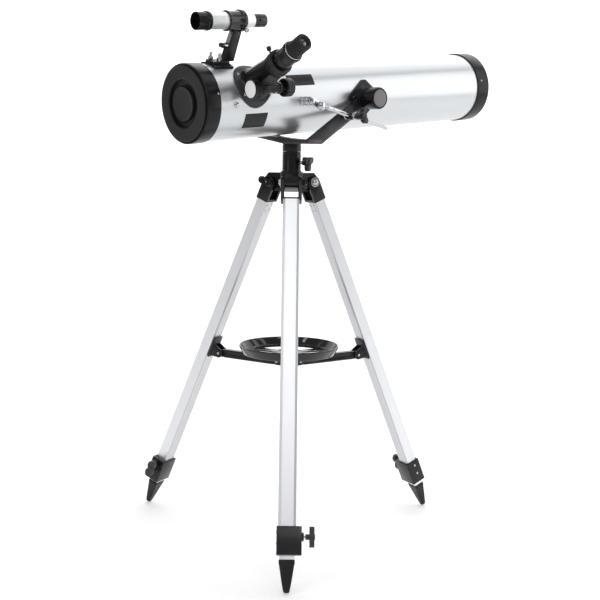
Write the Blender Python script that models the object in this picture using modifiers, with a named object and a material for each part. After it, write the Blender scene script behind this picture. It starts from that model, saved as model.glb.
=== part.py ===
"""Newtonian reflector telescope on an offset yoke mount and a folding aluminium tripod.

Metres, +Z up.  The optical tube lies in the XZ plane with its open end at -X, the focuser
is on the -Y side, and the azimuth axis is the vertical through (AXIS_X, AXIS_Y).
Pieces of the optical tube are placed in tube coordinates: t along the tube's axis towards
the mirror, s sideways towards -Y, h up.  Pieces of a leg are placed in the leg's own frame:
origin on the leg's hinge, -Z down the leg, +X outwards, +Y along the hinge.
"""
import bpy
import bmesh
from math import atan2, cos, degrees, hypot, pi, radians, sin, tan
from mathutils import Matrix, Vector

# ---------------------------------------------------------------- driving dimensions
GAP = 0.0003                    # left between pieces that touch

AXIS_X, AXIS_Y = -0.1072, -0.0256    # azimuth axis, so that the whole is centred on the origin

TUBE_R = 0.0629                 # optical tube, outside
TUBE_WALL = 0.0012
TUBE_T0, TUBE_T1 = -0.229, 0.445    # its ends, from the azimuth axis
RING_R = 0.065                  # end rings
FRONT_FACE, FRONT_RING_W = -0.2339, 0.030
REAR_FACE, REAR_RING_W = 0.4491, 0.033
TUBE_TILT = radians(4.793)      # mirror end up, in the rest pose
TUBE_Z = 0.7795                 # tube's axis above the floor, over the azimuth axis

PIVOT_T, PIVOT_H = 0.111, -0.0085   # altitude axis in tube coordinates

FOCUS_T, FOCUS_ANGLE = -0.130, radians(25)  # focuser's axis along the tube, and above the horizontal
PINION_T, PINION_OFF, PINION_RHO = 0.002, -0.0225, 0.0915   # pinion, in the focuser's frame
PINION_R = 0.0062

FINDER_ANGLE, FINDER_RHO = radians(75), 0.133   # finder's axis, round the tube and out from its axis
FINDER_R = 0.0140
HOOD_T = -0.1985                # rear end of the finder's hood
RING_T0, RING_T1 = -0.1650, -0.1300     # ends of the finder's ring

HEAD_R = 0.01645                # tripod head's column and the yoke's stem
STEM_Z, PLATE_Z = 0.686, 0.6994     # underside of the stem, underside of the yoke's plate
PLATE_THICK = 0.0078
ARM_IN, ARM_OUT = 0.0668, 0.0728    # the yoke's arms, from the tube's vertical plane
ARM_WIDTH = 0.023
LOCK_Z, LOCK_AZIMUTH = 0.667, radians(-71)  # azimuth lock screw

ROD_S = 0.094                   # the slow-motion rod's vertical plane
ROD_T, ROD_H = 0.0496, -0.0357  # its clamp, in tube coordinates at rest
EYE_T, EYE_H = -0.0164, -0.0133     # its eye
ROD_END_T, ROD_END_H = 0.1348, -0.0605  # its free end
ROD_R = 0.003

LEG_AZIMUTHS = [radians(a) for a in (-130.14, -10.14, 109.86)]
LEG_TILT = radians(23.4)
HINGE_R, HINGE_Z = 0.0377, 0.633
LUG_W = 0.024
CHEEK = 0.0062                  # leg bracket's cheeks
LEG_W, LEG_D, LEG_WALL = 0.0285, 0.022, 0.0014
LEG_LENGTH = HINGE_Z / cos(LEG_TILT)
FOOT_LEN = 0.053
CLAMP_LEN = 0.045
CLAMP_BOTTOM = -LEG_LENGTH + FOOT_LEN + 0.007
INNER_W, INNER_D = LEG_W - 2 * LEG_WALL - 0.0012, LEG_D - 2 * LEG_WALL - 0.0012
INNER_TOP = -0.235

BRACE_R0, BRACE_Z0 = 0.0195, 0.3115     # hub end of a brace
BRACE_R1, BRACE_Z1 = 0.1447, 0.3139     # leg end of a brace
BRACE_W, BRACE_H = 0.012, 0.0145
TRAY_R, TRAY_TOP, TRAY_WALL_H = 0.089, 0.343, 0.016

# ---------------------------------------------------------------- scene and helpers
for old in list(bpy.data.objects):
    bpy.data.objects.remove(old, do_unlink=True)

PARTS = bpy.data.collections.new("telescope_on_tripod")
CUTTERS = bpy.data.collections.new("cutters")
for collection in (PARTS, CUTTERS):
    bpy.context.scene.collection.children.link(collection)


def empty(name, location=(0, 0, 0), rotation=(0, 0, 0), parent=None):
    """A frame that pieces are placed in."""
    frame = bpy.data.objects.new(name, None)
    frame.location, frame.rotation_euler, frame.parent = location, rotation, parent
    PARTS.objects.link(frame)
    return frame


def material(name, colour, roughness, metallic):
    made = bpy.data.materials.new(name)
    made.use_nodes = True
    shader = made.node_tree.nodes["Principled BSDF"]
    shader.inputs["Base Color"].default_value = (*colour, 1)
    shader.inputs["Roughness"].default_value = roughness
    shader.inputs["Metallic"].default_value = metallic
    return made


FINISHES = {
    "silver_paint": ((0.62, 0.64, 0.66), 0.28, 0.85),
    "black_plastic": ((0.012, 0.012, 0.013), 0.38, 0.0),
    "black_metal": ((0.015, 0.015, 0.017), 0.42, 0.3),
    "gloss_black": ((0.008, 0.008, 0.009), 0.12, 0.0),
    "chrome": ((0.80, 0.80, 0.81), 0.10, 1.0),
    "aluminium": ((0.76, 0.77, 0.79), 0.36, 1.0),
    "mirror": ((0.92, 0.93, 0.94), 0.02, 1.0),
    "rubber": ((0.02, 0.02, 0.02), 0.8, 0.0),
}


def place(name, mesh, finish, location=(0, 0, 0), rotation=(0, 0, 0), parent=None, smooth=True):
    """One named piece, with a material of its own."""
    piece = bpy.data.objects.new(name, mesh)
    piece.location, piece.rotation_euler, piece.parent = location, rotation, parent
    mesh.materials.clear()
    mesh.materials.append(material(name, *FINISHES[finish]))
    PARTS.objects.link(piece)
    if smooth:
        shade(mesh)
    return piece


def shade(mesh):
    mesh.shade_smooth()
    mesh.set_sharp_from_angle(angle=radians(35))


def mesh_from(build, name="mesh"):
    """A mesh made by a function that fills a bmesh."""
    made = bpy.data.meshes.new(name)
    work = bmesh.new()
    build(work)
    bmesh.ops.recalc_face_normals(work, faces=work.faces)
    work.to_mesh(made)
    work.free()
    return made


def box_mesh(size, centre=(0, 0, 0)):
    def build(work):
        bmesh.ops.create_cube(work, size=1)
        bmesh.ops.scale(work, vec=size, verts=work.verts)
        bmesh.ops.translate(work, vec=centre, verts=work.verts)
    return mesh_from(build)


def cone_mesh(r_low, r_high, z_low, z_high, sides=32, turn=0):
    def build(work):
        bmesh.ops.create_cone(work, cap_ends=True, segments=sides, radius1=r_low, radius2=r_high,
                              depth=z_high - z_low)
        bmesh.ops.translate(work, vec=(0, 0, (z_low + z_high) / 2), verts=work.verts)
        bmesh.ops.rotate(work, matrix=Matrix.Rotation(turn, 3, "Z"), verts=work.verts)
    return mesh_from(build)


def cylinder_mesh(radius, z_low, z_high, sides=32):
    return cone_mesh(radius, radius, z_low, z_high, sides)


def turned_mesh(profile, sides=48, closed=False):
    """A profile of (radius, height) points, from top to bottom down the outer side, turned about Z."""
    outline = bpy.data.meshes.new("profile")
    points = [(r, 0, z) for r, z in profile]
    edges = [(i, i + 1) for i in range(len(points) - 1)]
    if closed:
        edges.append((len(points) - 1, 0))
    outline.from_pydata(points, edges, [])
    turner = bpy.data.objects.new("turner", outline)
    CUTTERS.objects.link(turner)
    screw = turner.modifiers.new("turn", "SCREW")
    screw.axis = "Z"
    screw.steps = screw.render_steps = sides
    screw.use_merge_vertices = True
    screw.merge_threshold = 0.00002
    screw.use_smooth_shade = True
    return baked(turner)


def prism_mesh(outline, thick, centre_z=0):
    """A flat outline in XY, given as points, extruded to a thickness about centre_z."""
    curve = bpy.data.curves.new("outline", "CURVE")
    curve.dimensions = "2D"
    curve.fill_mode = "BOTH"
    curve.extrude = thick / 2
    spline = curve.splines.new("POLY")
    spline.points.add(len(outline) - 1)
    for point, (x, y) in zip(spline.points, outline):
        point.co = (x, y, 0, 1)
    spline.use_cyclic_u = True
    drawn = bpy.data.objects.new("outline", curve)
    CUTTERS.objects.link(drawn)
    made = baked(drawn)
    made.transform(Matrix.Translation((0, 0, centre_z)))
    return made


def baked(source):
    """The evaluated mesh of a working object, welded, and the object removed."""
    bpy.context.view_layer.update()
    graph = bpy.context.evaluated_depsgraph_get()
    made = bpy.data.meshes.new_from_object(source.evaluated_get(graph))
    work = bmesh.new()
    work.from_mesh(made)
    bmesh.ops.remove_doubles(work, verts=work.verts, dist=0.00001)
    bmesh.ops.recalc_face_normals(work, faces=work.faces)
    work.to_mesh(made)
    work.free()
    bpy.data.objects.remove(source, do_unlink=True)
    return made


def joined(base, *steps):
    """A mesh with others added to it ("UNION") or cut from it ("DIFFERENCE"), in order."""
    body = bpy.data.objects.new("body", base)
    CUTTERS.objects.link(body)
    tools = []
    for number, (operation, tool_mesh) in enumerate(steps):
        tool = bpy.data.objects.new(f"tool_{number}", tool_mesh)
        tool.hide_render = True
        tool.display_type = "WIRE"
        CUTTERS.objects.link(tool)
        boolean = body.modifiers.new(f"step_{number}", "BOOLEAN")
        boolean.operation = operation
        boolean.solver = "EXACT"
        boolean.object = tool
        tools.append(tool)
    made = baked(body)
    for tool in tools:
        bpy.data.objects.remove(tool, do_unlink=True)
    return made


def moved(mesh, location=(0, 0, 0), rotation=(0, 0, 0)):
    """The mesh turned about X, then Y, then Z, and shifted."""
    turn = (Matrix.Rotation(rotation[2], 4, "Z") @ Matrix.Rotation(rotation[1], 4, "Y")
            @ Matrix.Rotation(rotation[0], 4, "X"))
    mesh.transform(Matrix.Translation(location) @ turn)
    return mesh


def arc(cx, cy, radius, start, end, steps):
    """Points on an arc in degrees, both ends included."""
    return [(cx + radius * cos(radians(start + (end - start) * i / steps)),
             cy + radius * sin(radians(start + (end - start) * i / steps)))
            for i in range(steps + 1)]


def lobed_outline(radius, depth, lobes, steps):
    """A wing knob's outline: a circle with a number of rounded lobes."""
    return [((radius - depth + depth * cos(lobes * a)) * cos(a),
             (radius - depth + depth * cos(lobes * a)) * sin(a))
            for a in (2 * pi * i / steps for i in range(steps))]


ALONG_X = (0, pi / 2, 0)        # turns a piece's Z axis to +X
ALONG_Y = (-pi / 2, 0, 0)       # turns a piece's Z axis to +Y
ALONG_MINUS_Y = (pi / 2, 0, 0)  # turns a piece's Z axis to -Y

# ---------------------------------------------------------------- frames
column = empty("azimuth_axis", (AXIS_X, AXIS_Y, 0))
PIVOT_X = PIVOT_T * cos(TUBE_TILT) - PIVOT_H * sin(TUBE_TILT)
PIVOT_Z = TUBE_Z + PIVOT_T * sin(TUBE_TILT) + PIVOT_H * cos(TUBE_TILT)
tube_frame = empty("altitude_axis", (PIVOT_X, 0, PIVOT_Z), (0, -TUBE_TILT, 0), column)


def tube(t, s=0, h=0):
    """A place in tube coordinates, in the altitude frame."""
    return Vector((t - PIVOT_T, -s, h - PIVOT_H))


def standing(angle):
    """Turns a piece's Z axis outwards at an angle about the tube, and keeps its X along the tube."""
    return (pi / 2 - angle, 0, 0)


# ---------------------------------------------------------------- tripod head
def tripod_head():
    """The cast head: a socket for the azimuth shaft, and a lug for each leg."""
    lug_low, lug_high = HINGE_Z - 0.0165, 0.649
    steps = [("UNION", cylinder_mesh(0.021, lug_low + 0.004, lug_high, 36))]
    reach = HINGE_R
    nose = 0.0098
    side = [(0.004, lug_high), (reach + 0.002, lug_high), (reach + nose, lug_high - 0.0085)]
    side += arc(reach, HINGE_Z, nose, 0, -70, 5)
    side += [(reach - 0.010, lug_low), (0.004, lug_low)]
    for azimuth in LEG_AZIMUTHS:
        lug = prism_mesh(side, LUG_W - 2 * GAP)
        moved(lug, rotation=(pi / 2, 0, azimuth))
        hole = cylinder_mesh(0.0033, -0.02, 0.02, 16)
        moved(hole, (reach, 0, HINGE_Z), ALONG_Y)
        moved(hole, rotation=(0, 0, azimuth))
        steps += [("UNION", lug), ("DIFFERENCE", hole)]
    socket = cylinder_mesh(HEAD_R, lug_high - 0.003, STEM_Z - GAP, 48)
    bore = cylinder_mesh(0.0103, 0.652, STEM_Z + 0.01, 32)
    screw_hole = cylinder_mesh(0.0028, 0, 0.03, 12)
    moved(screw_hole, (0, 0, LOCK_Z), (0, pi / 2, LOCK_AZIMUTH))
    steps += [("UNION", socket), ("DIFFERENCE", bore), ("DIFFERENCE", screw_hole)]
    base = cylinder_mesh(0.012, lug_low, lug_low + 0.01, 24)
    place("tripod_head", joined(base, *steps), "black_plastic", parent=column)


def wing_knob_mesh(stud_r, stud_len, hub_r, hub_len, wing_r, wing_thick, depth, lobes=3, steps=24):
    """A screw that points along -Z from z = 0, with its lobed head above."""
    head = prism_mesh(lobed_outline(wing_r, depth, lobes, steps), wing_thick, hub_len + wing_thick / 2)
    return joined(cylinder_mesh(stud_r, -stud_len, 0.001, 10),
                  ("UNION", cylinder_mesh(hub_r, 0, hub_len + 0.001, 14)), ("UNION", head))


def azimuth_lock_knob():
    knob = wing_knob_mesh(0.0024, 0.007, 0.0045, 0.006, 0.0148, 0.008, 0.0042)
    spot = Vector((cos(LOCK_AZIMUTH), sin(LOCK_AZIMUTH), 0)) * (HEAD_R + 0.0065)
    place("azimuth_lock_knob", knob, "black_plastic", (spot.x, spot.y, LOCK_Z),
          (0, pi / 2, LOCK_AZIMUTH), column)


# ---------------------------------------------------------------- yoke mount
def yoke_fork():
    """A plate on the azimuth stem, and two flat arms swept up and back to the altitude axis."""
    slope = atan2(PIVOT_Z - (PLATE_Z + 0.0275), PIVOT_X - 0.0270)
    half = ARM_WIDTH / 2
    nx, nz = -sin(slope) * half, cos(slope) * half
    top = PLATE_Z + PLATE_THICK

    def lower_edge(z):
        return PIVOT_X - nx - (PIVOT_Z - nz - z) / tan(slope)

    def upper_edge(z):
        return PIVOT_X + nx - (PIVOT_Z + nz - z) / tan(slope)

    start = degrees(slope)
    front, rear = upper_edge(top), lower_edge(PLATE_Z)
    steps = []
    for sign, low in ((-1, PLATE_Z), (1, PLATE_Z + 0.0110)):
        corner = max(low, top)
        side = [(lower_edge(low), low)] + arc(PIVOT_X, PIVOT_Z, half, start - 90, start + 90, 10)
        side += [(upper_edge(corner), corner), (upper_edge(corner), low)]
        arm = prism_mesh(side, ARM_OUT - ARM_IN)
        steps.append(("UNION", moved(arm, (0, sign * (ARM_IN + ARM_OUT) / 2, 0), (pi / 2, 0, 0))))

    # the plate's section across the tube: flat towards -Y, and rising towards +Y to meet the far arm
    section = [(-ARM_OUT, PLATE_Z), (-0.005, PLATE_Z), (ARM_OUT, PLATE_Z + 0.0112),
               (ARM_OUT, PLATE_Z + 0.034), (ARM_IN, PLATE_Z + 0.034), (0.054, PLATE_Z + 0.0205),
               (0.036, PLATE_Z + 0.0135), (0.018, PLATE_Z + 0.0115), (-0.006, PLATE_Z + 0.0098),
               (-0.030, PLATE_Z + 0.0082), (-0.052, top), (-ARM_OUT, top)]
    plate = prism_mesh(section, rear - front)
    plate.transform(Matrix(((0, 0, 1, (front + rear) / 2), (1, 0, 0, 0), (0, 1, 0, 0), (0, 0, 0, 1))))
    shaft = cylinder_mesh(0.0100, 0.6525, PLATE_Z + 0.001, 28)
    stem = cylinder_mesh(HEAD_R, STEM_Z, PLATE_Z + 0.004, 40)
    steps += [("UNION", stem), ("UNION", shaft)]
    for sign in (-1, 1):
        hole = cylinder_mesh(0.0040, ARM_IN - 0.01, ARM_OUT + 0.01, 16)
        steps.append(("DIFFERENCE", moved(hole, (PIVOT_X, 0, PIVOT_Z), (-sign * pi / 2, 0, 0))))
    stud_hole = cylinder_mesh(0.0034, ARM_IN - 0.01, ARM_OUT + 0.01, 14)
    steps.append(("DIFFERENCE", moved(stud_hole, (ROD_X, 0, ROD_Z), ALONG_MINUS_Y)))
    place("yoke_fork", joined(plate, *steps), "black_metal", parent=column)


def over_column(t, h):
    """X and Z, from the azimuth axis and the floor, of a place in tube coordinates at rest."""
    return (t * cos(TUBE_TILT) - h * sin(TUBE_TILT), TUBE_Z + t * sin(TUBE_TILT) + h * cos(TUBE_TILT))


ROD_X, ROD_Z = over_column(ROD_T, ROD_H)


def altitude_rod():
    """The slow-motion rod with its eye: it slides through the clamp on the near arm."""
    eye_x, eye_z = over_column(EYE_T, EYE_H)
    end_x, end_z = over_column(ROD_END_T, ROD_END_H)
    angle = atan2(end_z - eye_z, end_x - eye_x)
    length = hypot(end_x - eye_x, end_z - eye_z)
    frame = empty("rod_frame", (ROD_X, -ROD_S, ROD_Z), (0, -angle, 0), column)
    back = hypot(ROD_X - eye_x, ROD_Z - eye_z)
    rod = moved(cylinder_mesh(ROD_R, 0.004, length, 16), (-back, 0, 0), ALONG_X)
    sleeve = moved(cylinder_mesh(ROD_R + 0.0010, 0.0115, 0.0555, 20), (-back, 0, 0), ALONG_X)
    ball = moved(turned_mesh([(0, 0.0055), (0.0052, 0.0055), (0.0080, 0.0030), (0.0080, -0.0030),
                              (0.0052, -0.0055), (0, -0.0055)], 24), (-back, 0, 0), ALONG_Y)
    place("altitude_rod", joined(rod, ("UNION", sleeve), ("UNION", ball)), "chrome", parent=frame)

    block = moved(cylinder_mesh(0.0068, -0.0068, 0.0060, 24), rotation=ALONG_MINUS_Y)
    stud_len = ROD_S - ARM_IN + 0.002
    stud = moved(cylinder_mesh(0.0031, 0.004, stud_len, 14), rotation=ALONG_Y)
    collar = moved(cylinder_mesh(0.0055, 0.0060, ROD_S - ARM_OUT - GAP, 18), rotation=ALONG_Y)
    hole = moved(cylinder_mesh(ROD_R + 0.0004, -0.02, 0.02, 16), rotation=ALONG_X)
    clamp = joined(block, ("UNION", stud), ("UNION", collar), ("DIFFERENCE", hole))
    place("rod_clamp", clamp, "chrome", parent=frame)

    knob = wing_knob_mesh(0.0024, 0.0010, 0.0062, 0.0165, 0.0150, 0.0075, 0.0048)
    moved(knob, rotation=(0, 0, -radians(40)))
    place("rod_clamp_knob", knob, "black_plastic", (0, -0.0060 - 0.0014, 0), ALONG_MINUS_Y, frame)


def altitude_knobs():
    """Friction knobs on both ends of the altitude axis, outside the arms."""
    for name, sign in (("altitude_knob_near", -1), ("altitude_knob_far", 1)):
        grip = 0.0190
        out = 0.1045 - ARM_OUT - GAP
        profile = [(0, out), (0.0165, out), (grip, out - 0.0035), (grip, 0.0035), (0.0150, 0.0012),
                   (0.0150, 0), (0.0035, 0), (0.0035, -0.008), (0, -0.008)]
        turn = (-sign * pi / 2, 0, 0)
        place(name, turned_mesh(profile, 32), "black_plastic",
              (PIVOT_X, sign * (ARM_OUT + GAP), PIVOT_Z), turn, column)


# ---------------------------------------------------------------- optical tube
def main_tube():
    inner = TUBE_R - TUBE_WALL
    profile = [(inner, TUBE_T1), (TUBE_R, TUBE_T1), (TUBE_R, TUBE_T0), (inner, TUBE_T0)]
    shell = moved(turned_mesh(profile, 48, closed=True), rotation=ALONG_X)
    port = cylinder_mesh(0.0160, 0.03, 0.08, 32)
    moved(port, (FOCUS_T, 0, 0), standing(FOCUS_ANGLE))
    place("main_tube", joined(shell, ("DIFFERENCE", port)), "silver_paint", tube(0), parent=tube_frame)


def end_rings():
    """The front ring with its dust cap, and the rear ring that is the mirror's cell."""
    width, wall = FRONT_RING_W, TUBE_R + GAP
    profile = [(0.0575, 0), (RING_R - 0.0012, 0), (RING_R, -0.0012), (RING_R, -width),
               (wall, -width), (wall, -(TUBE_T0 - FRONT_FACE) + GAP), (0.0575, -(TUBE_T0 - FRONT_FACE) + GAP)]
    ring = moved(turned_mesh(profile, 48, closed=True), rotation=(0, -pi / 2, 0))
    place("front_ring", ring, "black_plastic", tube(FRONT_FACE), parent=tube_frame)

    lip = 0.0575 - GAP
    seat = 0.0306
    profile = [(seat, -0.0035), (0.0385, -0.0035), (0.0400, -0.0012), (0.0530, -0.0006), (lip, -0.0010),
               (lip, -0.012), (lip - 0.002, -0.012), (lip - 0.002, -0.0038), (0.0400, -0.0038),
               (0.0380, -0.0075), (0.0380, -0.0085), (seat, -0.0085)]
    cap = moved(turned_mesh(profile, 48, closed=True), rotation=(0, -pi / 2, 0))
    place("dust_cap", cap, "black_plastic", tube(FRONT_FACE), parent=tube_frame)

    inner = seat - GAP
    profile = [(0, 0.0006), (0.0255, 0.0006), (0.0275, -0.0008), (0.0285, -0.0030), (inner, -0.0030),
               (inner, -0.011), (inner - 0.0016, -0.011), (inner - 0.0016, -0.0045), (0, -0.0045)]
    centre = moved(turned_mesh(profile, 40), rotation=(0, -pi / 2, 0))
    place("aperture_cap", centre, "black_plastic", tube(FRONT_FACE), parent=tube_frame)

    width = REAR_RING_W
    step = REAR_FACE - TUBE_T1 - GAP
    profile = [(0, 0), (RING_R - 0.0012, 0), (RING_R, -0.0012), (RING_R, -width), (wall, -width),
               (wall, -step), (0.0560, -step), (0.0560, -0.0035), (0, -0.0035)]
    cell = moved(turned_mesh(profile, 48), rotation=ALONG_X)
    place("rear_cell", cell, "black_plastic", tube(REAR_FACE), parent=tube_frame)


def mirrors():
    """The primary mirror on its three springs, and the secondary on its spider."""
    focal = 0.700
    face_r = 0.038
    sag = [(face_r * i / 6, (face_r * i / 6) ** 2 / (4 * focal)) for i in range(6, -1, -1)]
    profile = [*reversed(sag), (face_r, -0.009), (0, -0.009)]
    mirror = moved(turned_mesh(profile, 40), rotation=(0, -pi / 2, 0))
    place("primary_mirror", mirror, "mirror", tube(0.425), parent=tube_frame)

    steps = []
    for turn in (0, 2 * pi / 3, 4 * pi / 3):
        post = cylinder_mesh(0.0035, -0.0079, 0.0005, 14)
        steps.append(("UNION", moved(post, (0.028 * cos(turn), 0.028 * sin(turn), 0))))
        clip = box_mesh((0.0035, 0.010, 0.0115), (face_r + 0.0023, 0, 0.0048))
        steps.append(("UNION", moved(clip, rotation=(0, 0, turn))))
    holder = joined(cylinder_mesh(0.041, -0.0006, 0.0030, 40), *steps)
    moved(holder, rotation=(0, -pi / 2, 0))
    place("mirror_support", holder, "black_metal", tube(0.425 + 0.009 + 0.0034), parent=tube_frame)

    wall = TUBE_R - TUBE_WALL - GAP
    steps = []
    for turn in (pi / 2, pi / 2 + 2 * pi / 3, pi / 2 + 4 * pi / 3):
        vane = box_mesh((wall - 0.006, 0.0012, 0.010), ((wall + 0.006) / 2, 0, 0))
        steps.append(("UNION", moved(vane, rotation=(0, 0, turn))))
    wedge = box_mesh((0.05, 0.05, 0.05), (0, 0, -0.025))
    steps.append(("DIFFERENCE", moved(wedge, (0, 0, -0.0150), (-pi / 4, 0, 0))))
    holder = joined(cylinder_mesh(0.0095, -0.030, 0.008, 28), *steps)
    moved(holder, rotation=(0, -pi / 2, 0))
    turned = moved(holder, rotation=(-FOCUS_ANGLE, 0, 0))
    place("secondary_spider", turned, "black_metal", tube(FOCUS_T - 0.017), parent=tube_frame)


def trunnion_plates():
    """Four-cornered plates on the tube's sides, which carry the altitude axis."""
    half, high = 0.037, 0.030
    for name, sign in (("trunnion_plate_near", -1), ("trunnion_plate_far", 1)):
        corner = 5
        outline = (arc(half - 0.006, 0, 0.006, -50, 50, corner) + arc(0, high - 0.006, 0.006, 50, 130, corner)
                   + arc(-half + 0.006, 0, 0.006, 130, 230, corner)
                   + arc(0, -high + 0.006, 0.006, 230, 310, corner))
        blank = prism_mesh(outline, 0.020)
        moved(blank, (PIVOT_T, sign * (ARM_IN - GAP - 0.010), PIVOT_H + 0.003), (pi / 2, 0, 0))
        hollow = moved(cylinder_mesh(TUBE_R + GAP, -0.05, 0.30, 64), rotation=ALONG_X)
        bore = cylinder_mesh(0.0040, 0.05, 0.09, 20)
        moved(bore, (PIVOT_T, 0, PIVOT_H), (-sign * pi / 2, 0, 0))
        plate = joined(blank, ("DIFFERENCE", hollow), ("DIFFERENCE", bore))
        place(name, plate, "black_plastic", tube(0), parent=tube_frame)


def rod_post():
    """The post on the tube, with the link that the rod's eye works against."""
    t0, h0 = -0.031, -0.006
    link_in, link_out = ROD_S - 0.0055 - 0.0042, ROD_S - 0.0055 - 0.0006
    post = cylinder_mesh(0.0075, TUBE_R + 0.0006, link_in + 0.001, 24)
    run = hypot(EYE_T - t0, EYE_H - h0)
    tilt = degrees(atan2(EYE_H - h0, EYE_T - t0))
    bar = prism_mesh(arc(0, 0, 0.0065, 90, 270, 8) + arc(run, 0, 0.0060, -90, 90, 8),
                     link_out - link_in, (link_in + link_out) / 2)
    moved(bar, rotation=(0, 0, radians(tilt)))
    made = joined(post, ("UNION", bar))
    place("rod_post", made, "chrome", tube(t0, 0, h0), ALONG_MINUS_Y, tube_frame)


# ---------------------------------------------------------------- focuser and eyepiece
def focuser():
    """Saddle and housing, the racked drawtube, its pinion with knobs, and the eyepiece."""
    frame = empty("focuser_frame", tube(FOCUS_T), standing(FOCUS_ANGLE), tube_frame)
    flange = cone_mesh(0.038, 0.0345, 0.040, 0.0690, 40)
    flange.transform(Matrix.Translation((-0.0027, 0, 0)) @ Matrix.Diagonal((1, 1.03, 1, 1)))
    dome = moved(cylinder_mesh(TUBE_R + 0.0032, -0.05, 0.05, 64), rotation=ALONG_X)
    hollow = moved(cylinder_mesh(TUBE_R + GAP, -0.06, 0.06, 64), rotation=ALONG_X)
    saddle = joined(flange, ("INTERSECT", dome))
    housing = cone_mesh(0.0245, 0.0190, 0.052, 0.1255, 36)
    pinion = (PINION_T, PINION_OFF, PINION_RHO)
    block = moved(cylinder_mesh(0.0105, -0.0180, 0.0220, 24), pinion, ALONG_X)
    web = box_mesh((0.034, 0.018, 0.021), (PINION_T + 0.002, PINION_OFF + 0.009, PINION_RHO))
    axle_hole = moved(cylinder_mesh(0.0027, -0.03, 0.03, 16), pinion, ALONG_X)
    pocket = moved(cylinder_mesh(0.0072, -0.0055, 0.0055, 20), pinion, ALONG_X)
    bore = cylinder_mesh(0.0160, 0.03, 0.14, 32)
    base = joined(saddle, ("UNION", housing), ("UNION", web), ("UNION", block), ("DIFFERENCE", hollow),
                  ("DIFFERENCE", bore), ("DIFFERENCE", axle_hole), ("DIFFERENCE", pocket))
    place("focuser_base", base, "black_plastic", parent=frame)

    profile = [(0.0130, 0.1430), (0.0200, 0.1430), (0.0210, 0.1415), (0.0210, 0.1290), (0.0200, 0.1275),
               (0.0157, 0.1275), (0.0157, 0.0520), (0.0130, 0.0520)]
    screw_at, screw_turn = (-0.0098, 0.0201, 0.1350), (-radians(64), 0, radians(26))
    screw_hole = moved(cylinder_mesh(0.0019, -0.006, 0.010, 12), screw_at, screw_turn)
    drawtube = joined(turned_mesh(profile, 32, closed=True), ("DIFFERENCE", screw_hole))
    place("focuser_drawtube", drawtube, "black_plastic", parent=frame)

    head = cylinder_mesh(0.0038, 0.0022, 0.0088, 16)
    screw = joined(cylinder_mesh(0.0015, -0.004, 0.003, 10), ("UNION", head))
    place("eyepiece_lock_screw", screw, "chrome", screw_at, screw_turn, frame)

    axle = moved(cylinder_mesh(0.0024, -0.034, 0.039, 14), rotation=ALONG_X)
    gear = moved(cylinder_mesh(PINION_R, -0.0048, 0.0048, 18), rotation=ALONG_X)
    place("focus_pinion", joined(axle, ("UNION", gear)), "chrome", pinion, parent=frame)
    for name, sign, near in (("focus_knob_front", -1, 0.0190), ("focus_knob_rear", 1, 0.0240)):
        profile = [(0, near + 0.0200), (0.0135, near + 0.0200), (0.0150, near + 0.0188),
                   (0.0150, near + 0.0060), (0.0135, near + 0.0048), (0.0062, near + 0.0035), (0.0062, near),
                   (0.0027, near), (0.0027, near + 0.0153), (0, near + 0.0153)]
        knob = moved(turned_mesh(profile, 28), rotation=(0, sign * pi / 2, 0))
        place(name, knob, "black_plastic", pinion, parent=frame)

    profile = [(0.0121, 0.1750), (0.0168, 0.1750), (0.0176, 0.1738), (0.0176, 0.1700), (0.0162, 0.1688),
               (0.0162, 0.1433), (0.0126, 0.1433), (0.0126, 0.1180), (0.0121, 0.1180)]
    place("eyepiece_adapter", turned_mesh(profile, 32, closed=True), "black_plastic", parent=frame)

    profile = [(0, 0.2035), (0.0060, 0.2035), (0.0080, 0.2070), (0.0120, 0.2070), (0.0137, 0.2048),
               (0.0137, 0.1795), (0.0160, 0.1785), (0.0160, 0.1753), (0.0117, 0.1753), (0.0117, 0.1450),
               (0, 0.1450)]
    place("eyepiece", turned_mesh(profile, 32), "black_plastic", parent=frame)


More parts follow.
